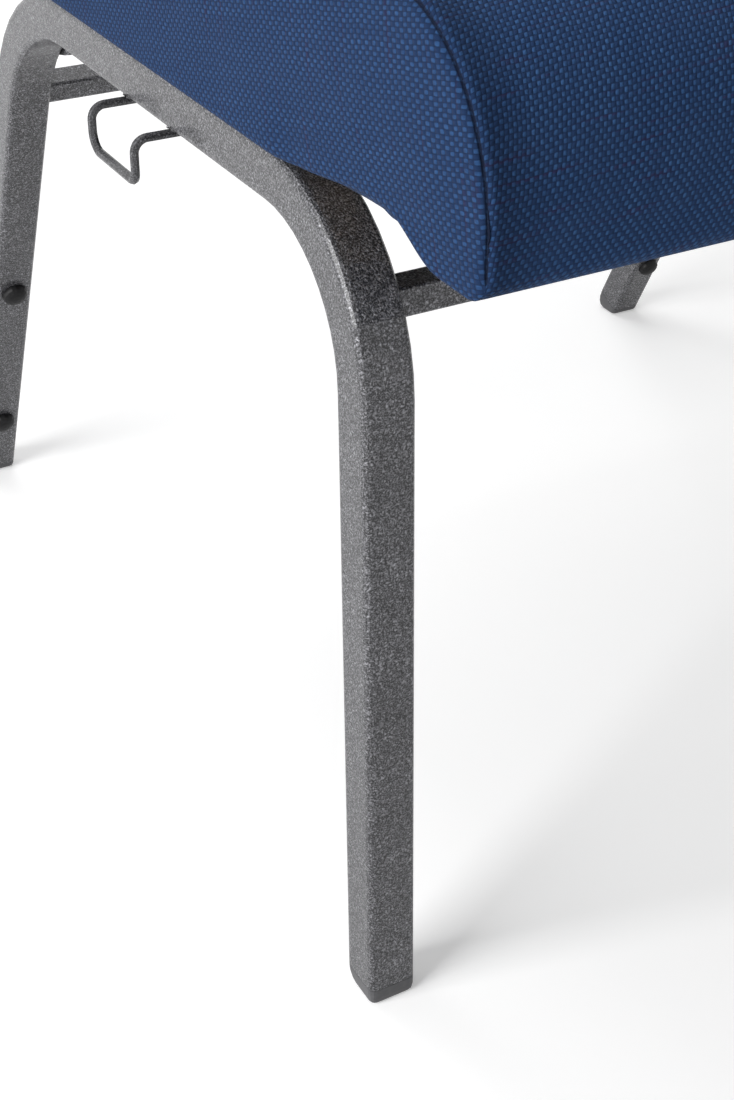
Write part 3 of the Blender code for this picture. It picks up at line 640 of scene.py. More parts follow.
def swell(piece, held, pressure, cap):
    """Inflate the piece with the cloth solver while points are held, and keep the capped, smoothed move."""
    group = piece.vertex_groups.new(name="held")
    for level in HOLDS:
        group.add(np.flatnonzero(held == level).tolist(), level, "REPLACE")
    cloth = piece.modifiers.new("swell", "CLOTH")
    for key, value in CLOTH_SETTINGS.items():
        setattr(cloth.settings, key, value)
    cloth.settings.uniform_pressure_force = pressure
    cloth.settings.effector_weights.gravity = 0
    cloth.settings.vertex_group_mass = "held"
    cloth.point_cache.frame_end = SWELL_FRAMES
    for step in range(1, SWELL_FRAMES + 1):
        scene.frame_set(step)
    start = read_points(piece.data)
    swollen = read_points(piece.evaluated_get(bpy.context.evaluated_depsgraph_get()).data)
    piece.modifiers.remove(cloth)
    scene.frame_set(1)
    move = swollen - start
    length = np.linalg.norm(move, axis=1, keepdims=True)
    move *= np.minimum(1, cap / np.maximum(length, 1e-9))
    move = smoothed(move, piece.data, held < HOLDS[0])
    write_points(piece.data, start + move)
    piece.vertex_groups.remove(group)
    return float(np.linalg.norm(move, axis=1).max())


def sew(piece, seam, depth, width):
    """Draw points in along their normals by depth at a seam, fading as a bell curve of the seam's width."""
    normals = read_points(piece.data, "normal")
    draw = depth * np.exp(-(seam / width) ** 2)
    write_points(piece.data, read_points(piece.data) - normals * draw[:, None])


def soften(piece):
    """One live level of subdivision, without its limit surface, which is slow where many faces meet."""
    smooth = piece.modifiers.new("soften", "SUBSURF")
    smooth.levels = 1
    smooth.render_levels = 1
    smooth.use_limit_surface = False


print("cloth solver ready")

# %% [markdown]
# ## Seat
# The seat is foam on a plywood board. One long panel of cloth runs up the rear, over the crowned top,
# down the rounded front and under the lip, and a shaped panel closes each side. They meet in a plain
# seam without piping. A block with rounded edges would miss how the panels meet, so the grid is made
# the way the cover is sewn: a closed outline in Y and Z is carried across X for the long panel, and
# each side is a lens of columns between the outline's lower and upper halves. The board sits in a
# recess below, and the lower edges follow the frame: they arch behind the lip and roll over the rail.

# %% Seat outline
seat_low, seat_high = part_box("seat_cushion")
board_low, board_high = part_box("seat_board")
FRONT_INSET, SIDE_INSET, SEAM_DROP, LIP_DROP = 0.0005, 0.0035, 0.0140, 0.0045
SEAT_FRONT, SEAT_REAR = seat_low[1] + FRONT_INSET, seat_high[1]
SEAT_HALF = seat_high[0] - SIDE_INSET
SEAM_TOP = seat_high[2] - SEAM_DROP
SEAT_BASE = board_low[2]
LIP_BASE = SEAT_BASE - LIP_DROP
LIP_STEP = (0.028, 0.0615)
NOSE = (0.060, 0.066)
LIP_ROUND, REAR_ROUND, HEEL_ROUND = 0.009, 0.030, 0.010
WALL_NEAR, WALL_FAR = 0.0010, 0.0032
COLUMNS, STEP_POINTS = 96, 16
TOP_CROWD, BASE_CROWD = 1.15, 1.35


def ease(value, start, stop):
    """Smooth step from 0 at start to 1 at stop."""
    share = np.clip((value - start) / (stop - start), 0, 1)
    return share * share * (3 - 2 * share)


def quarter(centre, reach, start, steps=24):
    """A quarter of an ellipse about a centre, turning clockwise from a start angle in quarter turns."""
    turn = (start - np.linspace(0, 1, steps)) * math.pi / 2
    return np.stack([centre[0] + reach[0] * np.cos(turn), centre[1] + reach[1] * np.sin(turn)], -1)


def spread(line, count, crowd, extra=()):
    """Points along a polyline, crowded to its start by a power, and more at given first coordinates."""
    step = np.linalg.norm(np.diff(line, axis=0), axis=1)
    run = np.concatenate([[0], np.cumsum(step)])
    wanted = run[-1] * np.linspace(0, 1, count - len(extra)) ** crowd
    if len(extra):
        wanted = np.sort(np.concatenate([wanted, np.interp(extra, line[:, 0], run)]))
    return np.stack([np.interp(wanted, run, line[:, axis]) for axis in (0, 1)], -1)


def seat_outline():
    """Upper half from the nose's tip over the top to the rear, and lower half from the same tip below."""
    tip = (SEAT_FRONT, SEAM_TOP - NOSE[1])
    tail = (SEAT_REAR, (SEAM_TOP + SEAT_BASE) / 2)
    upper = np.concatenate([
        quarter((tip[0] + NOSE[0], tip[1]), NOSE, 2),
        quarter((SEAT_REAR - REAR_ROUND, SEAM_TOP - REAR_ROUND), (REAR_ROUND, REAR_ROUND), 1),
        [tail],
    ])
    step = SEAT_FRONT + np.linspace(*LIP_STEP, STEP_POINTS)
    climb = ease(step, SEAT_FRONT + LIP_STEP[0], SEAT_FRONT + LIP_STEP[1])
    lower = np.concatenate([
        [tip],
        quarter((tip[0] + LIP_ROUND, LIP_BASE + LIP_ROUND), (LIP_ROUND, LIP_ROUND), 3)[::-1],
        np.stack([step, LIP_BASE + (SEAT_BASE - LIP_BASE) * climb], -1),
        quarter((SEAT_REAR - HEEL_ROUND, SEAT_BASE + HEEL_ROUND), (HEEL_ROUND, HEEL_ROUND), 0)[::-1],
        [tail],
    ])
    walls = [board_low[1] - WALL_FAR, board_low[1] - WALL_NEAR,
             board_high[1] + WALL_NEAR, board_high[1] + WALL_FAR]
    return spread(upper, COLUMNS, TOP_CROWD), spread(lower, COLUMNS, BASE_CROWD, walls)


upper, lower = seat_outline()
print("outline", len(upper) + len(lower) - 2, "points,", np.round(np.ptp(upper, axis=0), 4))

# %% Seat loop and its edge
SEAM_ROUND, BASE_ROUND = 0.0045, 0.0035
SEAM_TURN = math.radians(45)
UNDER_FROM, UNDER_SPAN = 0.3, 0.5
UNSEWN_AWAY = 0.05


def left_normals(loop):
    """Unit normals to the left of travel along a closed loop in a plane."""
    ahead = np.roll(loop, -1, 0) - np.roll(loop, 1, 0)
    ahead /= np.linalg.norm(ahead, axis=1, keepdims=True)
    return np.stack([-ahead[:, 1], ahead[:, 0]], -1)


# The loop's normals tell how far each point looks down: below is 1 on the underside, whose edge is
# tighter and isn't sewn, so that its distance from a seam is set well away.
loop = np.concatenate([upper, lower[-2:0:-1]])
normal = left_normals(loop)
below = np.clip((-normal[:, 1] - UNDER_FROM) / UNDER_SPAN, 0, 1)
edge = SEAM_ROUND + (BASE_ROUND - SEAM_ROUND) * below
tuck = edge * (1 - math.cos(SEAM_TURN))
unsewn = UNSEWN_AWAY * below
print("loop", len(loop), "points,", int((below == 1).sum()), "of them below")

# %% Seat on the frame
SKIRT_FROM, SKIRT_TO = SEAT_BASE + 0.004, SEAT_BASE + 0.030
RAIL_FRONT, RAIL_REAR = -0.170, 0.090
RAIL_FADE_IN, RAIL_FADE_OUT = 0.012, 0.020
ARCH_REAR, ARCH_RISE = -0.238, 0.0072
ARCH_FROM, ARCH_TO = board_high[0] + 0.0012, SEAT_HALF - 0.0020
ROLL_FROM, ROLL_TO = board_high[0] + 0.0014, SEAT_HALF - 0.0010
ROLL_OUT, ROLL_DOWN, HEM_DOWN = 0.0019, 0.0017, 0.0013
HEM_FROM, HEM_TO, HEM_HEIGHT = SEAT_HALF - 0.0028, SEAT_HALF - 0.0004, 0.012


def follow_frame(points):
    """Shape the lower side edges: an arch between lip and rail, and a roll over the rail's corner."""
    x, y, z = np.moveaxis(points, -1, 0)
    side = np.abs(x)
    low = 1 - ease(z, SKIRT_FROM, SKIRT_TO)
    arch = ease(y, SEAT_FRONT + LIP_STEP[0], SEAT_FRONT + LIP_STEP[1]) * (1 - ease(y, ARCH_REAR, RAIL_FRONT))
    rail = ease(y, RAIL_FRONT - RAIL_FADE_IN, RAIL_FRONT + RAIL_FADE_IN)
    rail = rail * (1 - ease(y, RAIL_REAR - RAIL_FADE_OUT, RAIL_REAR))
    out = side + ROLL_OUT * rail * low * ease(side, ROLL_FROM, ROLL_TO)
    raised = z + ARCH_RISE * arch * low * ease(side, ARCH_FROM, ARCH_TO)
    near_hem = (1 - ease(z, SEAT_BASE, SEAT_BASE + HEM_HEIGHT)) * ease(out, HEM_FROM, HEM_TO)
    hung = raised - (ROLL_DOWN * rail + HEM_DOWN * (1 - rail)) * near_hem
    return np.stack([np.copysign(out, x), y, hung], -1)


print("arch up to", ARCH_RISE * 1000, "mm, roll out by", ROLL_OUT * 1000, "mm")

# %% Seat wrap
SEAT_CROWN, CROWN_FROM, CROWN_POWER = 0.0095, 0.3, 1.4
FLAT_SHARE, FLAT_COLUMNS = 0.965, 49
WALL_IN, WALL_STEP = 0.0008, 0.006
EDGE_TURNS = np.array([0.34, 0.67, 1.0])
RECESS_SIDE, RECESS_END, RECESS_TOP = 0.0012, 0.0016, 0.0008
SLANT_ACROSS, SLANT_AROUND = 0.20, 0.06


def wrap_grid():
    """X, cloth coordinate across and inset of each point: a flat run, and an arc of the edge at each end."""
    wall = (board_high[0] + WALL_IN) / (SEAT_HALF - BASE_ROUND)
    walls = np.array([wall, wall + WALL_STEP, 1])
    flat_run = np.linspace(-FLAT_SHARE, FLAT_SHARE, FLAT_COLUMNS)
    turn = SEAM_TURN * EDGE_TURNS
    half, radius = (SEAT_HALF - edge)[:, None], edge[:, None]
    flat = half * np.sort(np.concatenate([-walls, flat_run, walls]))
    fold = radius * (1 - np.cos(turn))
    ends = (half + radius * np.sin(turn), half + radius * turn)
    x, across = (np.concatenate([-end[:, ::-1], flat, end], 1) for end in ends)
    return x, across, np.concatenate([fold[:, ::-1], np.zeros_like(flat), fold], 1)


def wrap_points(x, inset):
    """Loop points moved along their normals by crown less inset, with the board's recess pressed in."""
    rise = SEAT_CROWN * np.clip((normal[:, 1] + CROWN_FROM) / (1 + CROWN_FROM), 0, 1) ** CROWN_POWER
    lift = rise[:, None] * (1 - (x / SEAT_HALF) ** 2) - inset + (tuck * (1 - below))[:, None]
    band = np.concatenate([x[..., None], loop[:, None] + normal[:, None] * lift[..., None]], -1)
    within = (loop[:, 0] > board_low[1] - RECESS_END) & (loop[:, 0] < board_high[1] + RECESS_END)
    recess = ((below > 0.9) & within)[:, None] & (np.abs(x) < board_high[0] + RECESS_SIDE)
    band[..., 2] = np.where(recess, board_high[2] + RECESS_TOP, band[..., 2])
    return np.where(recess[..., None], band, follow_frame(band))


def wrap_uv(across):
    """Slanted cloth coordinates, across and around, wound from the nose's tip along each half."""
    step = np.linalg.norm(np.diff(loop, axis=0, append=loop[:1]), axis=1)
    around = np.concatenate([[0], np.cumsum(step)])[:, None]
    u = np.concatenate([across, across[:1]])
    halves = [grid_corners(np.stack([u - SLANT_ACROSS * v, v - SLANT_AROUND * u], -1))
              for v in (around, around - around[-1])]
    is_lower = np.arange(len(loop)) >= COLUMNS - 1
    return np.where(is_lower[:, None, None, None], halves[1], halves[0])


x, across, inset = wrap_grid()
wrap = wrap_points(x, inset)
wrap_rim = (SEAT_HALF - edge + edge * SEAM_TURN)[:, None] - np.abs(across)
wrap_index = np.arange(x.size).reshape(x.shape)
print("wrap", wrap.shape[:2], "points")

# %% Seat sides
SHARES = np.array([0, 0.022, 0.055, 0.10, 0.17, 0.26, 0.37, 0.5, 0.63, 0.74, 0.83, 0.90, 0.945, 0.978, 1])
RIM_STEPS = 8
SEAT_BULGE, BULGE_REACH = 0.0015, 0.022
GRAIN, SIDE_STRETCH = math.radians(12), 1.5
head = np.arange(COLUMNS)
foot = (len(loop) - head) % len(loop)


def side_panel():
    """Columns from the loop's lower half to its upper half, their distances from the rim and from its
    sewn part, and the radius of the edge at the nearest point of the rim."""
    sewn = loop - normal * (tuck * below)[:, None]
    panel = sewn[foot][:, None] * (1 - SHARES)[:, None] + sewn[head][:, None] * SHARES[:, None]
    place = np.arange(len(loop) * RIM_STEPS) / RIM_STEPS
    rim = np.stack([np.interp(place, np.arange(len(loop) + 1), np.append(line, line[0]))
                    for line in sewn.T], -1)
    gap = np.linalg.norm(panel[:, :, None] - rim, axis=-1)
    sewn_gap = (gap + np.repeat(unsewn, RIM_STEPS)).min(-1)
    radius = edge[gap.argmin(-1) // RIM_STEPS]
    return panel, gap.min(-1), sewn_gap, radius


def side_reach(gap, radius):
    """Distance out in X: the edge's arc of this radius close to the rim, and a shallow bulge inside it."""
    cosine = np.clip(1 - (gap + radius * (1 - math.cos(SEAM_TURN))) / radius, 0, 1)
    bulge = SEAT_BULGE * (1 - np.exp(-(gap / BULGE_REACH) ** 2))
    return SEAT_HALF - radius + radius * np.sqrt(1 - cosine ** 2) + bulge


def side_uv(block):
    """Cloth coordinates from Z and Y, turned by the grain's angle and stretched along the weft."""
    y, z = block[..., 1], block[..., 2]
    return np.stack([z * math.cos(GRAIN) + y * math.sin(GRAIN),
                     (y * math.cos(GRAIN) - z * math.sin(GRAIN)) / SIDE_STRETCH], -1)


def lens_index(edge_column, base):
    """Point numbers of a side: its rim is the wrap's edge column, and its inside is new from base on."""
    lens = np.empty((COLUMNS, len(SHARES)), int)
    inside = lens[1:-1, 1:-1]
    inside[:] = np.arange(inside.size).reshape(inside.shape) + base
    lens[:, 0], lens[:, -1] = wrap_index[foot, edge_column], wrap_index[head, edge_column]
    lens[0], lens[-1] = wrap_index[0, edge_column], wrap_index[COLUMNS - 1, edge_column]
    return lens


def lens_faces(lens, sheet):
    """Quads between the columns and a fan at each tip, with their cloth coordinates."""
    faces, uv = [grid_quads(lens[1:-1])], [grid_corners(sheet[1:-1])]
    for tip, ring in ((0, 1), (-1, -2)):
        faces.append(fan(lens[tip, 0], lens[ring]))
        uv.append(np.stack([sheet[tip, :-1], sheet[ring, :-1], sheet[ring, 1:]], 1))
    return faces, uv


print("side lens", COLUMNS, "by", len(SHARES), "points")

# %% Seat piece
SIDE_SEAM = 1.15
SHADE_FADE = 0.024
points, uv = [wrap.reshape(-1, 3)], [wrap_uv(across)]
faces = [grid_quads(np.concatenate([wrap_index, wrap_index[:1]]))]
rim, seam = [wrap_rim.reshape(-1)], [(wrap_rim + unsewn[:, None]).reshape(-1)]
# Painted shade: the share is 1 at the wrap's seams and fades out 24 mm from them, and it is 1 on the whole of
# each side panel.
cross_cut = [1 - ease(rim[0], 0.0, SHADE_FADE)]
side, gap, sewn_gap, radius = side_panel()
for hand, edge_column in ((-1, 0), (1, -1)):
    block = follow_frame(np.concatenate([hand * side_reach(gap, radius)[..., None], side], -1))
    lens = lens_index(edge_column, sum(len(group) for group in points))
    side_faces, side_sheets = lens_faces(lens, side_uv(block))
    faces += side_faces
    uv += side_sheets
    points.append(block[1:-1, 1:-1].reshape(-1, 3))
    rim.append(gap[1:-1, 1:-1].reshape(-1))
    seam.append(sewn_gap[1:-1, 1:-1].reshape(-1) * SIDE_SEAM)
    cross_cut.append(np.ones(len(rim[-1])))
points, seat_rim, seat_seam, cross_cut = (np.concatenate(group) for group in (points, rim, seam, cross_cut))
seat = cloth_piece("seat_upholstery", points, faces, uv, seat_seam, cross_cut)
print("seat grid", len(points), "points")

# %% Seat padding
HIDDEN_HEIGHT, HIDDEN_MARGIN = 0.004, 0.002
SEAT_GRIP = (0.0035, 0.008, 0.014)
hidden = points[:, 2] < SEAT_BASE + HIDDEN_HEIGHT
over_board = np.abs(points[:, 0]) < board_high[0] + HIDDEN_MARGIN
hidden |= over_board & (points[:, 2] < board_high[2] + HIDDEN_MARGIN)
moved = swell(seat, grip(hidden, seat_rim, SEAT_GRIP), pressure=3.0, cap=0.0040)
sew(seat, seat_seam, depth=0.0009, width=0.0016)
soften(seat)
seat.data.materials.append(blue_cloth)
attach(seat, "root")
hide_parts("seat_cushion")
print("seat swelled by up to", round(moved * 1000, 2), "mm")

# %% [markdown]
# ## Back
# The back leans by thirteen degrees, so it is built upright in its own Y and Z and then turned about
# its foot. Its cover is a crowned front panel sewn to a deep band that wraps the tube frame and turns
# in behind. It could be a box with bevels, but the cloth has to run on round the edge, so rings of one
# rounded outline, drawn in and set forward or back, describe all of it: from the middle of the front,
# round the edge, along the band, over the rear rim and into the hollow for the board and the tube.

# %% Outlines
# An outline is its half width, its low and high ends, and the radii of its low and high corners.
BACK_OUTLINE = (0.2498, 0.150, 0.5445, (0.030, 0.0766))
HOLLOW_OUTLINE = (0.2408, 0.162, 0.5355, (0.002, 0.0676))


def rounded_outline(half, low, high, corners, sides=(50, 34), bend=12):
    """A rectangle with round corners as matching points: each corner an arc, each side evenly divided."""
    low_round, high_round = corners
    right, wide = half - low_round, half - high_round
    centres = ((right, low + low_round, low_round), (wide, high - high_round, high_round),
               (-wide, high - high_round, high_round), (-right, low + low_round, low_round))
    arcs = []
    for turn, (x, z, radius) in enumerate(centres):
        angle = (turn - 1 + np.linspace(0, 1, bend + 1)) * math.pi / 2
        arcs.append(np.stack([x + radius * np.cos(angle), z + radius * np.sin(angle)], -1))
    runs = []
    for turn, arc in enumerate(arcs):
        onward = arcs[(turn + 1) % 4][0]
        steps = np.linspace(0, 1, sides[(turn + 1) % 2] + 1)[1:-1, None]
        runs += [arc, arc[-1] * (1 - steps) + onward * steps]
    return np.concatenate(runs)


def drawn_in(outline, inset, least):
    """Points of an outline made smaller all round, with no corner below a least radius."""
    half, low, high, corners = outline
    return rounded_outline(half - inset, low + inset, high - inset,
                           [max(corner - inset, least) for corner in corners])


def middle(outline):
    """Centre of an outline in X and Z."""
    return np.array([0, (outline[1] + outline[2]) / 2])


def bowed(ring, outline, rise):
    """A rise that falls as a parabola each way, from the outline's middle to its sides."""
    half, low, high, _ = outline
    bow = 1 - ((ring - middle(outline)) / np.array([half, (high - low) / 2])) ** 2
    return rise * bow[:, 0] * bow[:, 1]


print("back outline", len(rounded_outline(*BACK_OUTLINE)), "points")

# %% A skin through rings
BACK_FOOT = Vector((0, 0.13005, 0.3286))
RECLINE = math.radians(13)
FAR_FROM_SEAM = 1.0


def leaned(points):
    """Turn points from the upright back's own axes by the recline and set them on the back's foot."""
    turn = np.array(Matrix.Rotation(-RECLINE, 3, "X"))
    return points @ turn.T + np.array(BACK_FOOT)


def stacked(layers):
    """Rings as one array and depths as another, from pairs of a ring and its depth or depths."""
    return (np.array([ring for ring, depth in layers]),
            np.array([np.broadcast_to(depth, len(ring)) for ring, depth in layers]))


def ringed_piece(name, rings, depths, seam_ring, planar):
    """A closed skin through rings, with a pole at each end. Planar rings take X and Z as cloth
    coordinates, and the others the way round the seam's ring and the way along the skin."""
    count = rings.shape[1]
    stack = np.concatenate([rings, depths[..., None]], -1)[..., [0, 2, 1]]
    step = np.linalg.norm(np.diff(stack, axis=0), axis=-1).mean(1)
    run = np.concatenate([[0], np.cumsum(step)])
    around = np.linalg.norm(np.diff(rings[seam_ring], axis=0, append=rings[seam_ring][:1]), axis=1)
    around = np.concatenate([[0], np.cumsum(around)])
    poles = np.stack([stack[0].mean(0), stack[-1].mean(0)])
    points = np.concatenate([stack.reshape(-1, 3), poles])
    index = np.arange(len(stack) * count).reshape(len(stack), count)
    wrapped = np.concatenate([index, index[:, :1]], 1)
    flat = np.concatenate([rings, rings[:, :1]], 1)
    rolled = np.stack(np.broadcast_arrays(around[None], run[:, None]), -1)
    is_flat = (planar[:-1] & planar[1:])[:, None, None, None]
    faces, uv = [grid_quads(wrapped)], [np.where(is_flat, grid_corners(flat), grid_corners(rolled))]
    for end, ring in ((0, 0), (1, -1)):
        faces.append(fan(index.size + end, wrapped[ring]))
        centre = np.broadcast_to(poles[end][[0, 2]], (count, 2))
        uv.append(np.stack([centre, flat[ring, :-1], flat[ring, 1:]], 1))
    seam = np.repeat(np.abs(run - run[seam_ring]), count)
    seam = np.concatenate([seam, [FAR_FROM_SEAM, FAR_FROM_SEAM]])
    return cloth_piece(name, leaned(points), faces, uv, seam), seam, points


print("leaned by", round(math.degrees(RECLINE)), "degrees")

# %% Back rings
BACK_FACE, BACK_REAR = -0.0517, 0.0174
BACK_CROWN, FACE_ROUND, RIM_ROUND = 0.011, 0.016, 0.006
BACK_LEAST, BAND_DRAW = 0.006, 0.0022
HOLLOW_FLOOR = -0.0217
FACE_SHARES = np.concatenate([np.linspace(0.05, 0.92, 20), [0.96, 1.0]])
EDGE_ANGLES, RIM_ANGLES = (20, 38, 50, 58, 66, 78, 90), (35, 65, 90)
BAND_RINGS = 8
HOLLOW_DEPTHS = (BACK_REAR - 0.0002, BACK_REAR - 0.003, BACK_REAR - 0.012, HOLLOW_FLOOR + 0.002, HOLLOW_FLOOR)
FLOOR_SHARES = (0.97, 0.6, 0.2)


def back_rings():
    """Outlines in X and Z with a depth for each point, from the face's middle round to the hollow's floor."""
    centre = middle(BACK_OUTLINE)
    face = drawn_in(BACK_OUTLINE, FACE_ROUND, BACK_LEAST)
    hollow = rounded_outline(*HOLLOW_OUTLINE)
    layers = []
    for share in FACE_SHARES:
        ring = centre + (face - centre) * share
        layers.append((ring, BACK_FACE - bowed(ring, BACK_OUTLINE, BACK_CROWN)))
    bow_edge = layers[-1][1] - BACK_FACE
    for angle in np.radians(EDGE_ANGLES):
        depth = BACK_FACE + FACE_ROUND * (1 - math.cos(angle)) + bow_edge * math.cos(angle)
        layers.append((drawn_in(BACK_OUTLINE, FACE_ROUND * (1 - math.sin(angle)), BACK_LEAST), depth))
    for share in np.linspace(0, 1, BAND_RINGS + 1)[1:]:
        depth = BACK_FACE + FACE_ROUND + share * (BACK_REAR - RIM_ROUND - BACK_FACE - FACE_ROUND)
        layers.append((drawn_in(BACK_OUTLINE, BAND_DRAW * math.sin(math.pi * share), BACK_LEAST), depth))
    for angle in np.radians(RIM_ANGLES):
        depth = BACK_REAR - RIM_ROUND + RIM_ROUND * math.sin(angle)
        layers.append((drawn_in(BACK_OUTLINE, RIM_ROUND * (1 - math.cos(angle)), BACK_LEAST), depth))
    layers += [(hollow, depth) for depth in HOLLOW_DEPTHS]
    layers += [(centre + (hollow - centre) * share, HOLLOW_FLOOR) for share in FLOOR_SHARES]
    return stacked(layers)


rings, depths = back_rings()
SEAM_RING = len(FACE_SHARES) + 3
order = np.arange(len(rings))
planar = (order <= SEAM_RING) | (order >= len(rings) - len(FLOOR_SHARES) - 1)
back, back_seam, upright = ringed_piece("back_upholstery", rings, depths, SEAM_RING, planar)
print("back grid", len(upright), "points")

# %% Back padding
BACK_GRIP = (0.003, 0.007)
SHOWN_RINGS = len(FACE_SHARES) + len(EDGE_ANGLES) + BAND_RINGS
inside = np.arange(len(upright)) >= rings.shape[1] * SHOWN_RINGS
inside[-2] = False
moved = swell(back, grip(inside, back_seam, BACK_GRIP), pressure=2.5, cap=0.004)
sew(back, back_seam, depth=0.0016, width=0.0024)
soften(back)
back.data.materials.append(blue_cloth)
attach(back, "root")
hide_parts("back_cushion")
print("back swelled by up to", round(moved * 1000, 2), "mm")

# %% [markdown]
# ## Panel behind the back
# A thin board padded with the same cloth closes the hollow from behind. It could be a plate with a
# bevel, but it is padded too, so it is the same ring idea once more: a flat inner face, a tight edge
# and a slightly full outer face.

# %% Rear panel
PANEL_GAP = 0.0006
PANEL_OUTLINE = (HOLLOW_OUTLINE[0] - PANEL_GAP, HOLLOW_OUTLINE[1] + PANEL_GAP, HOLLOW_OUTLINE[2] - PANEL_GAP,
                 (0.005, 0.0670))
PANEL_INNER, PANEL_FULL, PANEL_EDGE, PANEL_LEAST = 0.0117, 0.0030, 0.0026, 0.003
INNER_INSET, INNER_ROUND = 0.001, 0.0008
INNER_SHARES = (0.1, 0.5, 0.95, 0.99)
TURN_ANGLES = (0, 30, 60, 90)
OUTER_SHARES = np.concatenate([[0.985], np.linspace(0.95, 0.05, 16)])


def panel_rings():
    """From the middle of the inner face out to the edge, round it, and back in over the full outer face."""
    centre = middle(PANEL_OUTLINE)
    inner = drawn_in(PANEL_OUTLINE, INNER_INSET, PANEL_LEAST)
    outer = drawn_in(PANEL_OUTLINE, PANEL_EDGE, PANEL_LEAST)
    layers = [(centre + (inner - centre) * share, PANEL_INNER) for share in INNER_SHARES]
    layers.append((drawn_in(PANEL_OUTLINE, 0, PANEL_LEAST), PANEL_INNER + INNER_ROUND))
    for angle in np.radians(TURN_ANGLES):
        ring = drawn_in(PANEL_OUTLINE, PANEL_EDGE * (1 - math.cos(angle)), PANEL_LEAST)
        layers.append((ring, BACK_REAR - PANEL_EDGE * (1 - math.sin(angle))))
    for share in OUTER_SHARES:
        ring = centre + (outer - centre) * share
        layers.append((ring, BACK_REAR + bowed(ring, PANEL_OUTLINE, PANEL_FULL)))
    return stacked(layers)


rings, depths = panel_rings()
EDGE_RING = len(INNER_SHARES) + 1
HELD_RINGS = len(INNER_SHARES) + len(TURN_ANGLES)
planar = np.full(len(rings), True)
panel, _, upright = ringed_piece("rear_panel_upholstery", rings, depths, EDGE_RING, planar)
held = np.arange(len(upright)) < rings.shape[1] * HELD_RINGS
held[-2] = True
moved = swell(panel, held.astype(float), pressure=1.5, cap=0.002)
soften(panel)
panel.data.materials.append(blue_cloth)
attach(panel, "root")
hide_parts("back_rear_panel")
print("panel grid", len(upright), "points, swelled by up to", round(moved * 1000, 2), "mm")

# %% [markdown]
# ## Weld beads
# The tubes, wire and tabs are welded before coating. A weld is a bead of overlapping ripples laid in
# the corner of two pieces. A noise bump could hint at it, but the corner would stay sharp in outline,
# so each bead is a real rod along its joint whose radius swells once for every ripple, all in one
# object under the same coat.

# %% Bead tools
RIPPLE, RIPPLE_DIP, RIPPLE_POWER = 0.0019, 0.16, 0.7
PATH_STEP, PATH_LEAST = 0.0003, 8
END_POWER, END_LEAST = 6, 0.02
ROD_SIDES = 10
ASKEW = np.array([0.31, 0.52, 0.80])


def fine_path(corners, closed):
    """Points at an even small step along straight runs between corners, and their distance along the run."""
    corners = np.concatenate([corners, corners[:1]]) if closed else np.asarray(corners)
    run = np.concatenate([[0], np.cumsum(np.linalg.norm(np.diff(corners, axis=0), axis=1))])
    along = np.linspace(0, run[-1], max(int(run[-1] / PATH_STEP), PATH_LEAST), endpoint=not closed)
    return np.stack([np.interp(along, run, corners[:, axis]) for axis in range(3)], -1), along


def rippled(along, radius, closed):
    """Bead radius: full at each ripple's middle, less between ripples, and rounded off at open ends."""
    wave = np.abs(np.sin(math.pi * along / RIPPLE)) ** RIPPLE_POWER
    swelling = radius * (1 - RIPPLE_DIP + RIPPLE_DIP * wave)
    if closed:
        return swelling
    share = 2 * along / along[-1] - 1
    return swelling * np.sqrt(np.clip(1 - share ** END_POWER, END_LEAST, 1))


def rod_grid(path, radius, closed):
    """A rod round a path: rings at right angles to it, and a fan over each end unless it is closed."""
    ahead = np.roll(path, -1, 0) - np.roll(path, 1, 0) if closed else np.gradient(path, axis=0)
    ahead /= np.linalg.norm(ahead, axis=1, keepdims=True)
    aside = np.cross(ahead, ASKEW)
    aside /= np.linalg.norm(aside, axis=1, keepdims=True)
    turn = np.linspace(0, 2 * math.pi, ROD_SIDES, endpoint=False)[None, :, None]
    spoke = aside[:, None] * np.cos(turn) + np.cross(ahead, aside)[:, None] * np.sin(turn)
    points = (path[:, None] + spoke * radius[:, None, None]).reshape(-1, 3)
    index = np.arange(len(points)).reshape(len(path), ROD_SIDES)
    wrapped = np.concatenate([index, index[:, :1]], 1)
    if closed:
        return points, [grid_quads(np.concatenate([wrapped, wrapped[:1]]))]
    faces = [grid_quads(wrapped), fan(len(points), wrapped[0]), fan(len(points) + 1, wrapped[-1])]
    return np.concatenate([points, path[:1], path[-1:]]), faces


def bead(corners, radius, closed=False):
    """A rippled rod along straight runs between corners."""
    path, along = fine_path(corners, closed)
    return rod_grid(path, rippled(along, radius, closed), closed)


def joined_rods(name, rods, material):
    """One object from many rods."""
    points, faces, base = [], [], 0
    for rod_points, rod_faces in rods:
        points.append(rod_points)
        faces += [group + base for group in rod_faces]
        base += len(rod_points)
    piece = outward_object(name, mesh_from(name, np.concatenate(points), faces))
    piece.data.materials.append(material)
    return piece


print("ripples", RIPPLE * 1000, "mm apart")

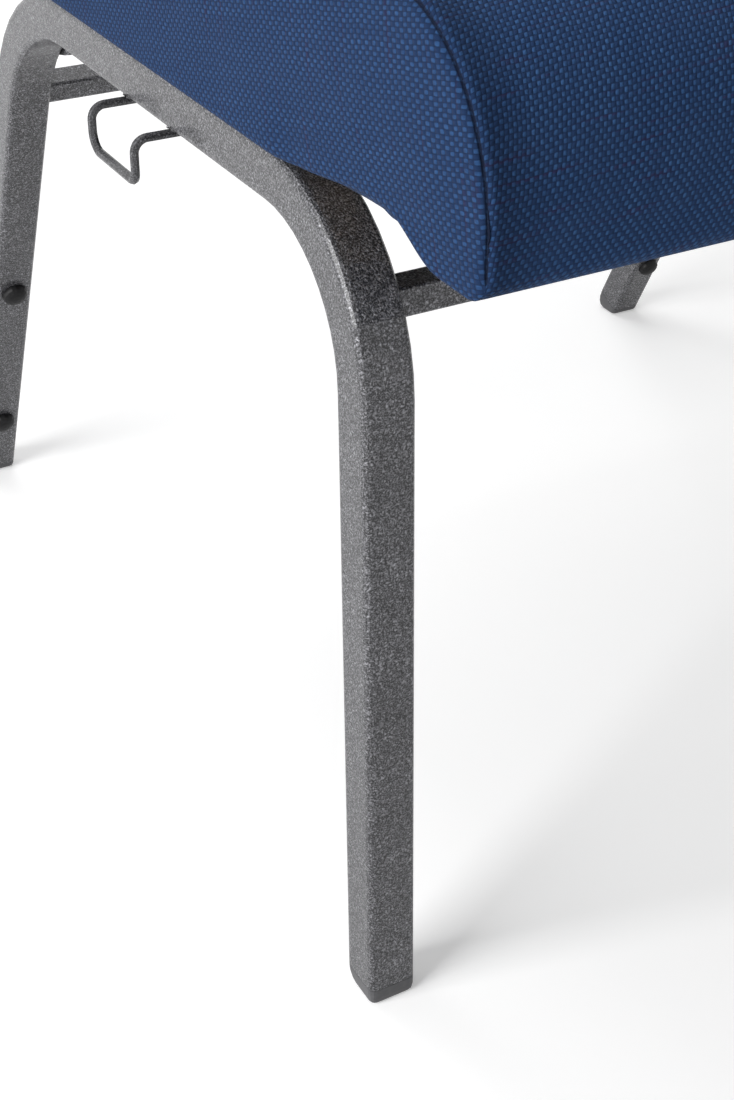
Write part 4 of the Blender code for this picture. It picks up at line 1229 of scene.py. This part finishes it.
# %% Weld beads
CROSS_SIDE, CROSS_CORNER = 0.0127, (0.0022, 0.0022)
CROSS_ROLL = {"front_cross_tube": math.radians(4), "rear_cross_tube": math.radians(25.8)}
WIRE_RAILS = {"ganging_hook": "left_side_frame", "ganging_eye": "right_side_frame"}
CROSS_BEAD, WIRE_BEAD, TAB_BEAD = 0.0017, 0.0012, 0.0013
RAIL_INSET, STRAND_INSET, TAB_INSET = 0.0012, 0.002, 0.002
STRAND_FLANK, STRAND_LIFT = 0.0021, 0.0001
beads = []
for tube, roll in CROSS_ROLL.items():
    low, high = (np.array(corner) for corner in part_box(tube))
    square = rounded_outline(CROSS_SIDE / 2, -CROSS_SIDE / 2, CROSS_SIDE / 2, CROSS_CORNER, (2, 2), 3)
    turned = square @ np.array([[math.cos(roll), -math.sin(roll)], [math.sin(roll), math.cos(roll)]])
    for end in (low[0], high[0]):
        ring = np.column_stack([np.full(len(turned), end), turned + (low[1:] + high[1:]) / 2])
        beads.append(bead(ring, CROSS_BEAD, True))
for wire, rail in WIRE_RAILS.items():
    low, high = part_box(wire)
    rail_low, rail_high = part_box(rail)
    reach = (rail_low[0] + RAIL_INSET, rail_high[0] - RAIL_INSET)
    for strand in (low[1] + STRAND_INSET, high[1] - STRAND_INSET):
        for flank in (-STRAND_FLANK, STRAND_FLANK):
            beads.append(bead([(x, strand + flank, high[2] + STRAND_LIFT) for x in reach], WIRE_BEAD))
for tab in (part["node"] for part in frame["record"]["subparts"] if part["node"].startswith("seat_tab")):
    low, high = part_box(tab)
    wall = low[0] if low[0] < 0 else high[0]
    for height in (low[2], high[2]):
        beads.append(bead([(wall, y, height) for y in (low[1] + TAB_INSET, high[1] - TAB_INSET)], TAB_BEAD))
welds = joined_rods("weld_beads", beads, coat)
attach(welds, "root")
print(len(beads), "beads,", len(welds.data.vertices), "points")

# %% [markdown]
# ## Sizes
# Last, the box round the dressed chair, with its padding and without the hidden plain solids, is printed.

# %% Sizes and finish
low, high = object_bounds()
print("visual box", [round(value, 4) for value in (*low, *high)])
